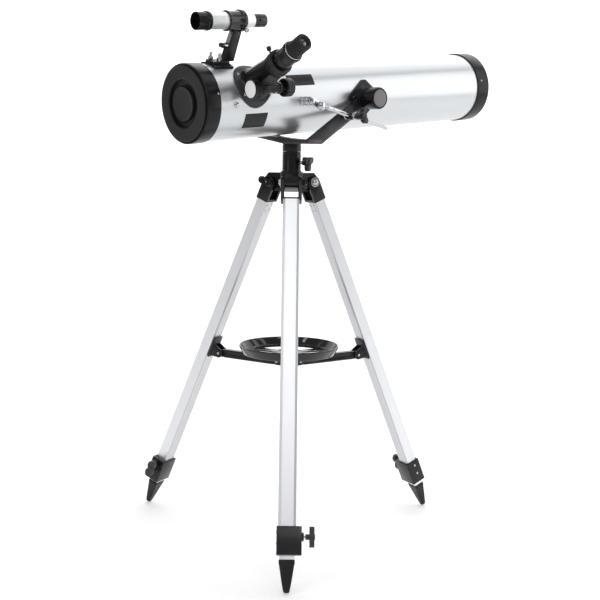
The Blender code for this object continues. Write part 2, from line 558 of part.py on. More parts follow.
# ---------------------------------------------------------------- finder
def finder():
    """The straight finder, in a ring on a leaning bracket."""
    frame = empty("finder_frame", tube(0), standing(FINDER_ANGLE), tube_frame)
    foot_mid = -0.1715
    blank = box_mesh((0.037, 0.040, 0.020), (foot_mid, 0, 0.0600))
    dome = moved(cylinder_mesh(TUBE_R + 0.0030, -0.3, 0.0, 64), rotation=ALONG_X)
    hollow = moved(cylinder_mesh(TUBE_R + GAP, -0.3, 0.0, 64), rotation=ALONG_X)
    pad = joined(blank, ("INTERSECT", dome))
    step = box_mesh((0.033, 0.022, 0.010), (foot_mid, 0, 0.0645))
    lean = [(-0.1635, 0.064), (-0.1425, 0.064), (-0.1315, 0.1190), (-0.1490, 0.1190)]
    stalk = moved(prism_mesh(lean, 0.011), rotation=(pi / 2, 0, 0))
    lever = moved(prism_mesh(arc(-0.1660, 0.0935, 0.0040, 90, 270, 6) + [(-0.145, 0.0895), (-0.145, 0.0975)],
                             0.0085), rotation=(pi / 2, 0, 0))
    profile = [(0.0130, RING_T1), (0.0180, RING_T1), (0.0180, RING_T1 - 0.009), (0.0165, RING_T1 - 0.010),
               (0.0165, RING_T0), (0.0130, RING_T0)]
    ring = moved(turned_mesh(profile, 32, closed=True), (0, 0, FINDER_RHO), ALONG_X)
    bore = moved(cylinder_mesh(FINDER_R + GAP, -0.3, 0.0, 40), (0, 0, FINDER_RHO), ALONG_X)
    bracket = joined(pad, ("UNION", step), ("UNION", stalk), ("UNION", lever), ("UNION", ring),
                     ("DIFFERENCE", bore), ("DIFFERENCE", hollow))
    place("finder_bracket", bracket, "black_plastic", parent=frame)

    inner = FINDER_R - 0.0012
    end, front = -0.1090, HOOD_T
    profile = [(0.0098, end), (0.0112, end), (FINDER_R - 0.0004, end - 0.0165), (FINDER_R, end - 0.0180),
               (FINDER_R, front), (0.0116, front), (0.0116, front - 0.0060), (0.0104, front - 0.0060),
               (0.0104, front + 0.0020), (inner, front + 0.0050), (inner, end - 0.0170),
               (0.0098, end - 0.0050)]
    body = moved(turned_mesh(profile, 32, closed=True), (0, 0, FINDER_RHO), ALONG_X)
    place("finder_tube", body, "silver_paint", parent=frame)

    front -= GAP
    profile = [(0.0119, front), (0.0150, front), (0.0156, front - 0.0012), (0.0156, front - 0.0056),
               (0.0144, front - 0.0072), (0.0144, HOOD_T - 0.0250), (0.0130, HOOD_T - 0.0250),
               (0.0119, front - 0.0140)]
    hood = moved(turned_mesh(profile, 32, closed=True), (0, 0, FINDER_RHO), ALONG_X)
    place("finder_hood", hood, "black_plastic", parent=frame)

    profile = [(0, -0.0860), (0.0045, -0.0860), (0.0060, -0.0835), (0.0098, -0.0835), (0.0112, -0.0850),
               (0.0112, end + GAP), (0.0095, end + GAP), (0.0095, end - 0.0045), (0, end - 0.0045)]
    eye = moved(turned_mesh(profile, 28), (0, 0, FINDER_RHO), ALONG_X)
    place("finder_eyepiece", eye, "black_plastic", parent=frame)


# ---------------------------------------------------------------- legs
def leg(number, azimuth):
    """One leg, with its bracket, hinge bolt, telescoping section, clamp and foot."""
    spot = (HINGE_R * cos(azimuth), HINGE_R * sin(azimuth), HINGE_Z)
    frame = empty(f"leg_{number}_hinge", spot, (0, -LEG_TILT, azimuth), column)

    def piece(name, mesh, finish, location=(0, 0, 0), rotation=(0, 0, 0)):
        return place(f"leg_{number}_{name}", mesh, finish, location, rotation, frame)

    outer = LUG_W / 2 + CHEEK
    low, web = -0.0352, -0.0332
    inner_x, outer_x = -0.0130, 0.0104
    side = arc(0, 0, outer_x, 0, 150, 8) + [(inner_x, 0.004), (inner_x, low), (outer_x, low)]
    blank = moved(prism_mesh(side, 2 * outer), rotation=(pi / 2, 0, 0))
    slot = box_mesh((0.06, LUG_W, 0.060), (0, 0, web + 0.0030 + 0.030))
    socket = box_mesh((0.040, LEG_W + 2 * GAP, 0.020), (0.020 - LEG_D / 2 - GAP, 0, web - 0.010))
    hole = moved(cylinder_mesh(0.0033, -0.03, 0.03, 14), rotation=ALONG_Y)
    bracket = joined(blank, ("DIFFERENCE", slot), ("DIFFERENCE", socket), ("DIFFERENCE", hole))
    piece("bracket", bracket, "black_plastic")

    grip = outer + GAP
    head = cylinder_mesh(0.0052, -grip - 0.0030, -grip, 6)
    washer = cylinder_mesh(0.0085, -grip - 0.0008, -grip, 18)
    shank = cylinder_mesh(0.0030, -grip - 0.001, grip + 0.006, 12)
    nut = cylinder_mesh(0.0058, grip, grip + 0.0050, 12)
    wings = prism_mesh(lobed_outline(0.0145, 0.0052, 2, 22), 0.0045, grip + 0.0069)
    bolt = joined(shank, ("UNION", head), ("UNION", washer), ("UNION", nut), ("UNION", wings))
    piece("wing_bolt", bolt, "black_plastic", rotation=ALONG_Y)

    top = web - GAP
    end = CLAMP_BOTTOM + 0.0080
    shell = box_mesh((LEG_D, LEG_W, top - end), (0, 0, (top + end) / 2))
    core = box_mesh((LEG_D - 2 * LEG_WALL, LEG_W - 2 * LEG_WALL, top - end + 0.01), (0, 0, (top + end) / 2))
    piece("outer", joined(shell, ("DIFFERENCE", core)), "aluminium")

    foot_top = -LEG_LENGTH + FOOT_LEN
    span = INNER_TOP - foot_top - GAP
    middle = INNER_TOP - span / 2
    shell = box_mesh((INNER_D, INNER_W, span), (0, 0, middle))
    core = box_mesh((INNER_D - 2 * LEG_WALL, INNER_W - 2 * LEG_WALL, span + 0.01), (0, 0, middle))
    piece("inner", joined(shell, ("DIFFERENCE", core)), "aluminium")

    tip = cone_mesh(0.0052, 0.0147, -LEG_LENGTH - 0.006, foot_top - 0.006, 4, pi / 4)
    tip.transform(Matrix.Diagonal((0.92, 1.12, 1, 1)))
    cap = box_mesh((INNER_D + 0.001, INNER_W + 0.001, 0.0063), (0, 0, foot_top - 0.0031))
    tip_at = Matrix.Translation((0, 0, -LEG_LENGTH)) @ Matrix.Rotation(LEG_TILT, 4, "Y")
    floor_cut = box_mesh((0.2, 0.2, 0.05), (0, 0, -0.025))
    floor_cut.transform(tip_at)
    foot = joined(cap, ("UNION", tip), ("DIFFERENCE", floor_cut))
    piece("foot", foot, "rubber")

    wide, deep = LEG_W + 0.0050, LEG_D + 0.0060
    middle = CLAMP_BOTTOM + CLAMP_LEN / 2
    body = box_mesh((deep, wide + 0.0065, CLAMP_LEN), (0, 0.00325, middle))
    boss = moved(cylinder_mesh(0.0070, wide / 2, wide / 2 + 0.0100, 20), (0, 0, middle + 0.0065), ALONG_Y)
    bore_out = box_mesh((LEG_D + 2 * GAP, LEG_W + 2 * GAP, CLAMP_LEN), (0, 0, middle + 0.0077))
    bore_in = box_mesh((INNER_D + 0.0008, INNER_W + 0.0008, CLAMP_LEN), (0, 0, middle - 0.02))
    thread = moved(cylinder_mesh(0.0026, LEG_W / 2 - 0.001, wide, 12), (0, 0, middle + 0.0065), ALONG_Y)
    clamp = joined(body, ("UNION", boss), ("DIFFERENCE", bore_out), ("DIFFERENCE", bore_in),
                   ("DIFFERENCE", thread))
    piece("clamp", clamp, "black_plastic")

    knob = wing_knob_mesh(0.0023, 0.0100, 0.0045, 0.0062, 0.0165, 0.0080, 0.0058, 2, 22)
    moved(knob, rotation=(0, 0, pi / 2))
    piece("clamp_knob", knob, "black_plastic", (0, wide / 2 + 0.0125, middle + 0.0065), ALONG_Y)

    brace_bracket(piece)


def leg_place(radius, z):
    """A place in the leg's own frame, from its radius and height in the rest pose."""
    out, up = radius - HINGE_R, z - HINGE_Z
    return out * cos(LEG_TILT) + up * sin(LEG_TILT), -out * sin(LEG_TILT) + up * cos(LEG_TILT)


def brace_bracket(piece):
    """The clip on the leg's inner face, whose ears take the end of the brace."""
    px, pz = leg_place(BRACE_R1, BRACE_Z1)
    face, thick, high = -LEG_D / 2 - GAP, 0.0030, 0.040
    pad = box_mesh((thick, LEG_W - 0.003, high), (face - thick / 2, 0, pz + 0.004))
    ears = moved(prism_mesh(arc(px, pz, 0.0085, 90, 270, 8)
                            + [(face - 0.001, pz - 0.0125), (face - 0.001, pz + 0.0125)],
                            BRACE_W + 0.0078), rotation=(pi / 2, 0, 0))
    slot = box_mesh((0.060, BRACE_W + 0.0010, 0.060), (face - thick - 0.0300, 0, pz))
    made = joined(pad, ("UNION", ears), ("DIFFERENCE", slot))
    piece("brace_bracket", made, "black_plastic")


def brace(number, azimuth):
    """A flat brace from the hub to the leg, on a hinge at the hub."""
    frame = empty(f"brace_{number}_hinge", (BRACE_R0 * cos(azimuth), BRACE_R0 * sin(azimuth), BRACE_Z0),
                  (0, 0, azimuth), column)
    run, rise = BRACE_R1 - BRACE_R0, BRACE_Z1 - BRACE_Z0
    length = hypot(run, rise)
    half = BRACE_H / 2
    outline = arc(0, 0, 0.0060, 90, 270, 7) + [(0.012, -half), (length - 0.012, -half)]
    outline += arc(length, 0, 0.0064, -90, 90, 7) + [(length - 0.012, half), (0.012, half)]
    bar = moved(prism_mesh(outline, BRACE_W), rotation=(pi / 2, 0, 0))
    channel = box_mesh((length - 0.034, BRACE_W - 0.0036, BRACE_H), (length / 2, 0, -0.0022))
    pin_hole = moved(cylinder_mesh(0.0018, -0.02, 0.02, 12), rotation=ALONG_Y)
    made = joined(bar, ("DIFFERENCE", channel), ("DIFFERENCE", pin_hole))
    moved(made, rotation=(0, -atan2(rise, run), 0))
    place(f"brace_{number}", made, "black_plastic", parent=frame)


def spreader():
    """The hub that the three braces hinge on, and the accessory tray that is screwed to it."""
    ear_w = 0.0034
    steps = []
    for azimuth in LEG_AZIMUTHS:
        for sign in (-1, 1):
            ear = prism_mesh(arc(BRACE_R0, BRACE_Z0, 0.0065, -90, 90, 5)
                             + [(0.002, BRACE_Z0 + 0.0065), (0.002, BRACE_Z0 - 0.0065)], ear_w)
            moved(ear, (0, sign * (BRACE_W / 2 + 0.0004 + ear_w / 2), 0), (pi / 2, 0, 0))
            moved(ear, rotation=(0, 0, azimuth))
            steps.append(("UNION", ear))
    for azimuth in LEG_AZIMUTHS:
        slot = box_mesh((0.030, BRACE_W + 0.0008, 0.04), (BRACE_R0 - 0.0068 + 0.015, 0, BRACE_Z0))
        steps.append(("DIFFERENCE", moved(slot, rotation=(0, 0, azimuth))))
        pin = cylinder_mesh(0.0016, -(BRACE_W / 2 + 0.002), BRACE_W / 2 + 0.002, 10)
        moved(pin, (BRACE_R0, 0, BRACE_Z0), ALONG_Y)
        steps.append(("UNION", moved(pin, rotation=(0, 0, azimuth))))
    base = cylinder_mesh(0.0125, BRACE_Z0 - 0.0065, TRAY_TOP - TRAY_WALL_H - GAP, 30)
    place("spreader_hub", joined(base, *steps), "black_plastic", parent=column)

    floor = TRAY_TOP - TRAY_WALL_H
    low_r = 0.0820
    profile = [(0, floor + 0.0025), (low_r - 0.0012, floor + 0.0025), (TRAY_R - 0.0028, TRAY_TOP - 0.0022),
               (TRAY_R - 0.0022, TRAY_TOP), (TRAY_R, TRAY_TOP), (TRAY_R, TRAY_TOP - 0.0025), (low_r, floor),
               (0, floor)]
    dish = turned_mesh(profile, 48)
    steps = []
    for azimuth in LEG_AZIMUTHS:
        for side in (-1, 1):
            middle = degrees(azimuth) + side * 30
            window = arc(0, 0, 0.069, middle - 20, middle + 20, 6)
            window += arc(0, 0, 0.030, middle + 14, middle - 14, 3)
            steps.append(("DIFFERENCE", prism_mesh(window, 0.02, floor)))
    knob = cylinder_mesh(0.0120, floor + 0.001, floor + 0.0070, 24)
    steps.append(("UNION", knob))
    place("accessory_tray", joined(dish, *steps), "gloss_black", parent=column)


tripod_head()
azimuth_lock_knob()
yoke_fork()
altitude_rod()
altitude_knobs()
main_tube()
end_rings()
mirrors()
trunnion_plates()
rod_post()
focuser()
finder()
for leg_number, leg_azimuth in enumerate(LEG_AZIMUTHS, 1):
    leg(leg_number, leg_azimuth)
    brace(leg_number, leg_azimuth)
spreader()
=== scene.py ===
"""The looks of the telescope on its tripod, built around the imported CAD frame.

Metres, +Z up, in the CAD's own frame.  Tube coordinates are t along the optical axis towards the
mirror, -y towards the focuser's side and z up; a leg's frame has its origin on the hinge, -Z down
the leg, +X outwards and +Y along the hinge.
"""
from math import atan2, cos, degrees, hypot, pi, radians, sin, tan

import bmesh
import bpy
from mathutils import Matrix, Vector


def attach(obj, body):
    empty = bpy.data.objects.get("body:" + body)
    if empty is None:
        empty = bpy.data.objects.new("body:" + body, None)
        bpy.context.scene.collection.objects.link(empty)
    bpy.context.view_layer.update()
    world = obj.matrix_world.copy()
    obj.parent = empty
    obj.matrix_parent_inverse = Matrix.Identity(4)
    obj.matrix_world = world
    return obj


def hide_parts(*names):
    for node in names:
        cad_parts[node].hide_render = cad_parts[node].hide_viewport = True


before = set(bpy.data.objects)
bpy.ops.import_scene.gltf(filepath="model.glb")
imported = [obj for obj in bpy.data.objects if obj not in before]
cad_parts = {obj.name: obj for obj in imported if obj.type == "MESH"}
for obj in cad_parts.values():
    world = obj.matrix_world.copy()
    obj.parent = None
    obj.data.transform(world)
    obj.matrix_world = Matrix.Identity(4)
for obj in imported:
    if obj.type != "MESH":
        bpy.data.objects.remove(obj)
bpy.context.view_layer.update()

# ---------------------------------------------------------------- dimensions shared with the CAD
GAP = 0.0003
AXIS_X, AXIS_Y = -0.1072, -0.0256
TUBE_R, RING_R = 0.0629, 0.065
TUBE_T0, TUBE_T1 = -0.229, 0.445
FRONT_FACE, FRONT_RING_W = -0.2339, 0.03
REAR_FACE, REAR_RING_W = 0.4491, 0.033
TUBE_TILT, TUBE_Z = radians(4.793), 0.7795
PIVOT_T, PIVOT_H = 0.111, -0.0085
FOCUS_T, FOCUS_ANGLE = -0.13, radians(25)
PINION_T, PINION_OFF, PINION_RHO = 0.002, -0.0225, 0.0915
SADDLE = 0.0032
FINDER_ANGLE, FINDER_RHO, FINDER_R = radians(75), 0.133, 0.014
HOOD_T, CLAMP_T0, CLAMP_T1 = -0.1985, -0.165, -0.13
HEAD_R, STEM_Z, PLATE_Z, PLATE_THICK = 0.01645, 0.686, 0.6994, 0.0078
ARM_IN, ARM_OUT, ARM_WIDTH = 0.0668, 0.0728, 0.023
LOCK_Z, LOCK_AZIMUTH = 0.667, radians(-71)
LEG_AZIMUTHS = [radians(a) for a in (-130.14, -10.14, 109.86)]
LEG_TILT, HINGE_R, HINGE_Z = radians(23.4), 0.0377, 0.633
LUG_W, CHEEK = 0.024, 0.0062
LEG_W, LEG_D, LEG_WALL = 0.0285, 0.022, 0.0014
LEG_LENGTH = HINGE_Z / cos(LEG_TILT)
FOOT_LEN, CLAMP_LEN = 0.053, 0.045
CLAMP_BOTTOM = -LEG_LENGTH + FOOT_LEN + 0.007
INNER_W, INNER_D = LEG_W - 2 * LEG_WALL - 0.0012, LEG_D - 2 * LEG_WALL - 0.0012
INNER_TOP = -0.235
BRACE_R0, BRACE_Z0, BRACE_R1, BRACE_Z1 = 0.0195, 0.3115, 0.1447, 0.3139
BRACE_W, BRACE_H = 0.012, 0.0145
TRAY_R, TRAY_TOP, TRAY_WALL_H = 0.089, 0.343, 0.016
ROD_S, ROD_R = 0.094, 0.003
ROD_T, ROD_H, EYE_T, EYE_H = 0.0496, -0.0357, -0.0164, -0.0133
ROD_END_T, ROD_END_H = 0.1348, -0.0605
POST_T, POST_H = -0.031, -0.006

T, R = Matrix.Translation, Matrix.Rotation


def over_column(t, h):
    return (t * cos(TUBE_TILT) - h * sin(TUBE_TILT), TUBE_Z + t * sin(TUBE_TILT) + h * cos(TUBE_TILT))


PIVOT_X, PIVOT_Z = over_column(PIVOT_T, PIVOT_H)
ROD_X, ROD_Z = over_column(ROD_T, ROD_H)

# ---------------------------------------------------------------- frames
COLUMN = T((AXIS_X, AXIS_Y, 0))
TUBE = COLUMN @ T((PIVOT_X, 0, PIVOT_Z)) @ R(-TUBE_TILT, 4, "Y") @ T((-PIVOT_T, 0, -PIVOT_H))
FOCUS = TUBE @ T((FOCUS_T, 0, 0)) @ R(pi / 2 - FOCUS_ANGLE, 4, "X")
FINDER = TUBE @ R(pi / 2 - FINDER_ANGLE, 4, "X") @ T((0, 0, FINDER_RHO))
ALONG_X = R(pi / 2, 4, "Y")          # a piece's Z axis to +X
BACK_X = R(-pi / 2, 4, "Y")          # to -X
ALONG_Y = R(-pi / 2, 4, "X")         # to +Y
BACK_Y = R(pi / 2, 4, "X")           # to -Y
LEGS = [COLUMN @ T((HINGE_R * cos(a), HINGE_R * sin(a), HINGE_Z)) @ R(a, 4, "Z") @ R(-LEG_TILT, 4, "Y")
    for a in LEG_AZIMUTHS]


# ---------------------------------------------------------------- materials
def feed(tree, target, inputs):
    """Each named input gets its value, or a link from another node's output."""
    for name, value in inputs.items():
        if isinstance(value, bpy.types.NodeSocket):
            tree.links.new(value, target.inputs[name])
        else:
            target.inputs[name].default_value = value
    return target


def node(tree, kind, inputs=(), **settings):
    made = tree.nodes.new(kind)
    for name, value in settings.items():
        setattr(made, name, value)
    return feed(tree, made, dict(inputs))


def ranged(tree, source, low, high):
    """A texture's 0..1 output brought to a range."""
    return node(tree, "ShaderNodeMapRange", {"Value": source, "To Min": low,
        "To Max": high}).outputs["Result"]


def blend(tree, below, above, share):
    """One colour passing into another."""
    return node(tree, "ShaderNodeMix", {"A": below, "B": above, "Factor": share},
        data_type="RGBA").outputs["Result"]


def finish(name, colour, rough, metallic=0.0, coat=0.0, spread=0.05, tone=0.12, grain=900.0, bump=0.05,
           depth=0.00015, stretch=(1, 1, 1), patch=14.0, specular=0.5, wear=0.0):
    """A moulded, painted or metal surface: soft patches of tone and gloss, and a fine grain in relief."""
    made = bpy.data.materials.new(name)
    made.use_nodes = True
    tree = made.node_tree
    place = node(tree, "ShaderNodeTexCoord").outputs["Object"]
    place = node(tree, "ShaderNodeMapping", {"Vector": place, "Scale": stretch}).outputs["Vector"]
    broad, fine = [node(tree, "ShaderNodeTexNoise", {"Vector": place, "Scale": scale,
        "Detail": detail}).outputs["Fac"] for scale, detail in ((patch, 3), (grain, 4))]
    dark, light = [(*[min(1, c * share) for c in colour], 1) for share in (1 - tone, 1 + tone)]
    shade = blend(tree, dark, light, broad)
    # Edges lightened by pointiness: partly edge wear, partly a painted highlight along the rims.
    if wear:
        edge = node(tree, "ShaderNodeNewGeometry").outputs["Pointiness"]
        edge = node(tree, "ShaderNodeMapRange", {"Value": edge, "From Min": 0.52, "From Max": 0.62,
            "To Max": wear})
        shade = blend(tree, shade, (0.16, 0.16, 0.17, 1), edge.outputs["Result"])
    relief = node(tree, "ShaderNodeBump", {"Strength": bump, "Distance": depth, "Height": fine})
    feed(tree, tree.nodes["Principled BSDF"], {"Metallic": metallic, "Coat Weight": coat,
        "Coat Roughness": 0.08, "Specular IOR Level": specular, "Base Color": shade,
        "Roughness": ranged(tree, fine, max(0.02, rough - spread), rough + spread),
        "Normal": relief.outputs["Normal"]})
    return made


MATERIALS, SLOTS = {}, {}


def material(name, slot, colour, rough, **settings):
    """A finish with the slot that its pieces go by."""
    MATERIALS[name] = finish(name, colour, rough, **settings)
    SLOTS[name] = slot


material("silver_paint", "silver_paint", (0.6, 0.62, 0.635), 0.33, metallic=0.88, coat=0.12, tone=0.03,
    grain=2600, bump=0.06, depth=5e-05, patch=9)
# A lighter copy of the silver paint for the finder barrel: painted light, its base lifted to stand in for the
# finder's brighter reflections.
material("silver_bright", "silver_paint", (0.86, 0.87, 0.88), 0.36, metallic=0.75, coat=0.12, tone=0.03,
    grain=2600, bump=0.06, depth=5e-05, patch=9)
material("black_plastic", "black_plastic", (0.0065, 0.0065, 0.0075), 0.25, spread=0.07, tone=0.25, grain=1500,
    bump=0.16, depth=0.0001, patch=30, specular=0.22, wear=0.25)
material("black_satin", "black_plastic", (0.006, 0.006, 0.007), 0.2, tone=0.2, grain=1100, bump=0.07,
    depth=8e-05, patch=24, specular=0.32, wear=0.25)
material("black_metal", "black_metal", (0.01, 0.01, 0.0125), 0.34, metallic=0.1, spread=0.08, tone=0.2,
    grain=800, bump=0.22, depth=0.00015, patch=18, specular=0.4, wear=0.35)
material("gloss_black", "gloss_black", (0.004, 0.004, 0.0055), 0.07, coat=0.25, spread=0.02, tone=0.2,
    grain=300, bump=0.02, depth=0.0001, specular=0.4)
material("cap_black", "black_plastic", (0.01, 0.01, 0.0105), 0.36, spread=0.06, tone=0.15, grain=1300,
    bump=0.2, depth=0.00012, patch=20, specular=0.3, wear=0.2)
material("rubber_black", "foot_rubber", (0.008, 0.008, 0.009), 0.45, spread=0.08, tone=0.25, bump=0.25,
    depth=0.00015, patch=25, specular=0.3)
material("chrome_steel", "chrome_steel", (0.5, 0.5, 0.525), 0.12, metallic=1.0, tone=0.05, grain=500,
    bump=0.04, depth=5e-05, stretch=(1, 1, 0.2))
material("anodised", "anodised_aluminium", (0.86, 0.875, 0.905), 0.36, metallic=0.9, spread=0.08, tone=0.045,
    bump=0.12, depth=8e-05, stretch=(1, 1, 0.02), patch=60)
# A darker copy of the anodising: painted shade for the legs' back faces and sloping side strips.
material("anodised_strip", "anodised_aluminium", (0.6, 0.6, 0.62), 0.38, metallic=0.9, spread=0.08, tone=0.05,
    bump=0.14, depth=8e-05, stretch=(1, 1, 0.02), patch=60)
material("white_disc", "black_plastic", (0.94, 0.93, 0.96), 0.55, spread=0.08, tone=0.1, grain=520, bump=0.3,
    depth=0.0002, patch=700)
material("grey_disc", "black_plastic", (0.19, 0.188, 0.185), 0.5, metallic=0.2, spread=0.08, tone=0.16,
    grain=520, bump=0.35, depth=0.00025, patch=700, specular=0.3)
material("label_plate", "black_plastic", (0.006, 0.006, 0.007), 0.28, tone=0.2, bump=0.06, depth=8e-05,
    specular=0.3)
material("label_edge", "black_plastic", (0.004, 0.004, 0.005), 0.3, specular=0.3)
material("mirror_glass", "mirror_glass", (0.92, 0.93, 0.95), 0.03, metallic=1.0, spread=0.01, tone=0.01,
    grain=60, bump=0.01, depth=1e-05)
material("lens_glass", "mirror_glass", (0.01, 0.016, 0.022), 0.04, coat=1.0, spread=0.01, tone=0.2, grain=40,
    bump=0.0, specular=0.8)


# ---------------------------------------------------------------- mesh helpers
def mesh_from(build):
    made = bpy.data.meshes.new("mesh")
    work = bmesh.new()
    build(work)
    bmesh.ops.recalc_face_normals(work, faces=work.faces)
    work.to_mesh(made)
    work.free()
    return made


def box(size, centre=(0, 0, 0)):
    def build(work):
        bmesh.ops.create_cube(work, size=1)
        bmesh.ops.scale(work, vec=size, verts=work.verts)
        bmesh.ops.translate(work, vec=centre, verts=work.verts)
    return mesh_from(build)


def arc(cx, cy, radius, start, end, steps):
    """Points on a circle between two angles in degrees."""
    turns = [radians(start + (end - start) * i / steps) for i in range(steps + 1)]
    return [(cx + radius * cos(a), cy + radius * sin(a)) for a in turns]


def rounded(points, radius, steps=3, closed=True):
    """The outline with each corner eased by a small curve."""
    made = []
    count = len(points)
    for i, (x, y) in enumerate(points):
        if not closed and i in (0, count - 1):
            made.append((x, y))
            continue
        here = Vector((x, y))
        before, after = Vector(points[i - 1]) - here, Vector(points[(i + 1) % count]) - here
        ease = min(radius, before.length * 0.45, after.length * 0.45)
        a, b = here + before.normalized() * ease, here + after.normalized() * ease
        for k in range(steps + 1):
            f = k / steps
            point = a * (1 - f) ** 2 + here * 2 * f * (1 - f) + b * f ** 2
            made.append((point.x, point.y))
    return made


def lathe(profile, sides=96, closed=False, ripple=None, ease=0.0):
    """A profile of (radius, height) turned about Z, its corners eased by a radius.

    ripple is (count, depth, low, high): ribs cut between two heights.
    """
    if ease:
        profile = rounded(profile, ease, closed=closed)

    def build(work):
        rings = []
        for r, z in profile:
            if r < 1e-7:
                rings.append([work.verts.new((0, 0, z))])
                continue
            ring = []
            for i in range(sides):
                a = 2 * pi * i / sides
                reach = r
                if ripple and ripple[2] <= z <= ripple[3]:
                    reach -= ripple[1] * (0.5 - 0.5 * cos(ripple[0] * a))
                ring.append(work.verts.new((reach * cos(a), reach * sin(a), z)))
            rings.append(ring)
        pairs = list(zip(rings, rings[1:]))
        if closed:
            pairs.append((rings[-1], rings[0]))
        for above, below in pairs:
            for i in range(sides):
                j = (i + 1) % sides
                corners = [above[i % len(above)], above[j % len(above)], below[j % len(below)],
                    below[i % len(below)]]
                corners = list(dict.fromkeys(corners))
                if len(corners) > 2:
                    work.faces.new(corners)
    return mesh_from(build)


def prism(outline, z0, z1):
    """A flat outline given a thickness from z0 to z1."""
    def build(work):
        low = [work.verts.new((x, y, z0)) for x, y in outline]
        high = [work.verts.new((x, y, z1)) for x, y in outline]
        work.faces.new(low)
        work.faces.new(high)
        for i in range(len(outline)):
            j = (i + 1) % len(outline)
            work.faces.new((low[i], low[j], high[j], high[i]))
    return mesh_from(build)


def cylinder(radius, z0, z1, sides=48):
    return prism([(radius * cos(2 * pi * i / sides), radius * sin(2 * pi * i / sides)) for i in range(sides)],
        z0, z1)


def moved(mesh, matrix):
    mesh.transform(matrix)
    return mesh


def evaluated(source):
    bpy.context.view_layer.update()
    graph = bpy.context.evaluated_depsgraph_get()
    made = bpy.data.meshes.new_from_object(source.evaluated_get(graph))
    bpy.data.objects.remove(source, do_unlink=True)
    return made


def linked(name, mesh):
    made = bpy.data.objects.new(name, mesh)
    bpy.context.scene.collection.objects.link(made)
    return made


def plus(mesh):
    return "UNION", mesh


def minus(mesh):
    return "DIFFERENCE", mesh


def joined(base, *steps):
    """A mesh with others added to it, cut from it or crossed with it, in that order."""
    body = linked("body", base)
    tools = []
    for operation, mesh in steps:
        tool = linked("tool", mesh)
        boolean = body.modifiers.new("step", "BOOLEAN")
        boolean.operation, boolean.solver, boolean.object = operation, "EXACT", tool
        tools.append(tool)
    made = evaluated(body)
    for tool in tools:
        bpy.data.objects.remove(tool, do_unlink=True)
    return made


def eased(mesh, width, segments=2, angle=32):
    """The mesh with its sharp edges rounded over."""
    body = linked("body", mesh)
    bevel = body.modifiers.new("ease", "BEVEL")
    bevel.width, bevel.segments, bevel.limit_method = width, segments, "ANGLE"
    bevel.angle_limit = radians(angle)
    bevel.miter_outer = "MITER_ARC"
    bevel.use_clamp_overlap = True
    return evaluated(body)


def piece(name, mesh, material, matrix, body="optical_tube", replaces=(), smooth=38):
    """One visible piece, riding on a CAD body."""
    made = linked(name, mesh)
    mesh.materials.clear()
    mesh.materials.append(MATERIALS[material])
    mesh.shade_smooth()
    mesh.set_sharp_from_angle(angle=radians(smooth))
    made.matrix_world = matrix
    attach(made, body)
    if replaces:
        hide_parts(*replaces)
    return made


def screw(name, radius, height, spot, body="optical_tube", slots=2):
    """A steel screw head on the XY plane of a frame."""
    return piece(name, pan_screw(radius, height, slots), "chrome_steel", spot, body)


def across(sign):
    """A piece's Z axis to -Y or +Y."""
    return BACK_Y if sign < 0 else ALONG_Y


def core(lift, start, end, sides=256):
    """A cylinder along the tube's axis, its radius so much over the tube's own."""
    return moved(cylinder(TUBE_R + lift, start, end, sides), ALONG_X)


def turned(t, angle):
    """A frame on an axis at t, Z pointing outwards at an angle in radians."""
    return T((t, 0, 0)) @ R(pi / 2 - angle, 4, "X")


def dome(radius, foot, rise, back):
    """The profile of an eye lens: a round face, closed behind."""
    curve = [(radius * sin(radians(a)), foot + rise * cos(radians(a))) for a in range(0, 91, 10)]
    return curve + [(0, back)]


def on_tube(t, angle, radius):
    """A frame on the tube: X along it, and Z outwards at an angle in degrees, 0 towards -Y and 90 up."""
    return TUBE @ turned(t, radians(angle)) @ T((0, 0, radius))


def pan_screw(radius, height, slots=2):
    """A domed screw head on z = 0, with a cross or a single slot."""
    profile = [(0, height)] + [(radius * sin(radians(a)), height * cos(radians(a)) ** 0.8)
        for a in (20, 40, 58, 72, 84)] + [(radius, 0), (0, 0)]
    head = lathe(profile, 28)
    cuts = []
    for turn in (0.3, 0.3 + pi / 2)[:slots]:
        cut = box((radius * 1.25, radius * 0.24, height * 0.9), (0, 0, height))
        cuts.append(minus(moved(cut, R(turn, 4, "Z"))))
    return joined(head, *cuts)


def lobes(radius, depth, count, steps=72):
    """The outline of a knob with a number of rounded lobes."""
    reach = [(2 * pi * i / steps, radius - depth + depth * cos(count * 2 * pi * i / steps))
        for i in range(steps)]
    return [(r * cos(a), r * sin(a)) for a, r in reach]


def wing_head(hub_r, hub_len, wing_r, thick, depth, count=3):
    """A lobed knob's head from z = 0, with its hub below and a small boss on top."""
    head = prism(lobes(wing_r, depth, count), hub_len, hub_len + thick)
    made = joined(cylinder(hub_r, 0, hub_len + 0.002, 40), plus(head),
        plus(cylinder(hub_r * 1.05, hub_len, hub_len + thick + 0.001, 40)))
    return eased(made, 0.0011, 3)


def tube_patch(t0, t1, a0, a1, low, high, steps=(2, 24)):
    """A thin plate bent to the tube, between two angles in degrees and two heights above its skin."""
    def build(work):
        layers = []
        for lift in (low, high):
            skin = TUBE_R + lift
            turns = [radians(a0 + (a1 - a0) * k / steps[1]) for k in range(steps[1] + 1)]
            layers.append([[work.verts.new((t0 + (t1 - t0) * i / steps[0], -skin * cos(a), skin * sin(a)))
                for a in turns] for i in range(steps[0] + 1)])
        bottom, top = layers
        for i in range(steps[0]):
            for k in range(steps[1]):
                for grid in layers:
                    work.faces.new((grid[i][k], grid[i + 1][k], grid[i + 1][k + 1], grid[i][k + 1]))
            for k in (0, steps[1]):
                work.faces.new((bottom[i][k], bottom[i + 1][k], top[i + 1][k], top[i][k]))
        for k in range(steps[1]):
            for i in (0, steps[0]):
                work.faces.new((bottom[i][k], bottom[i][k + 1], top[i][k + 1], top[i][k]))
    return mesh_from(build)


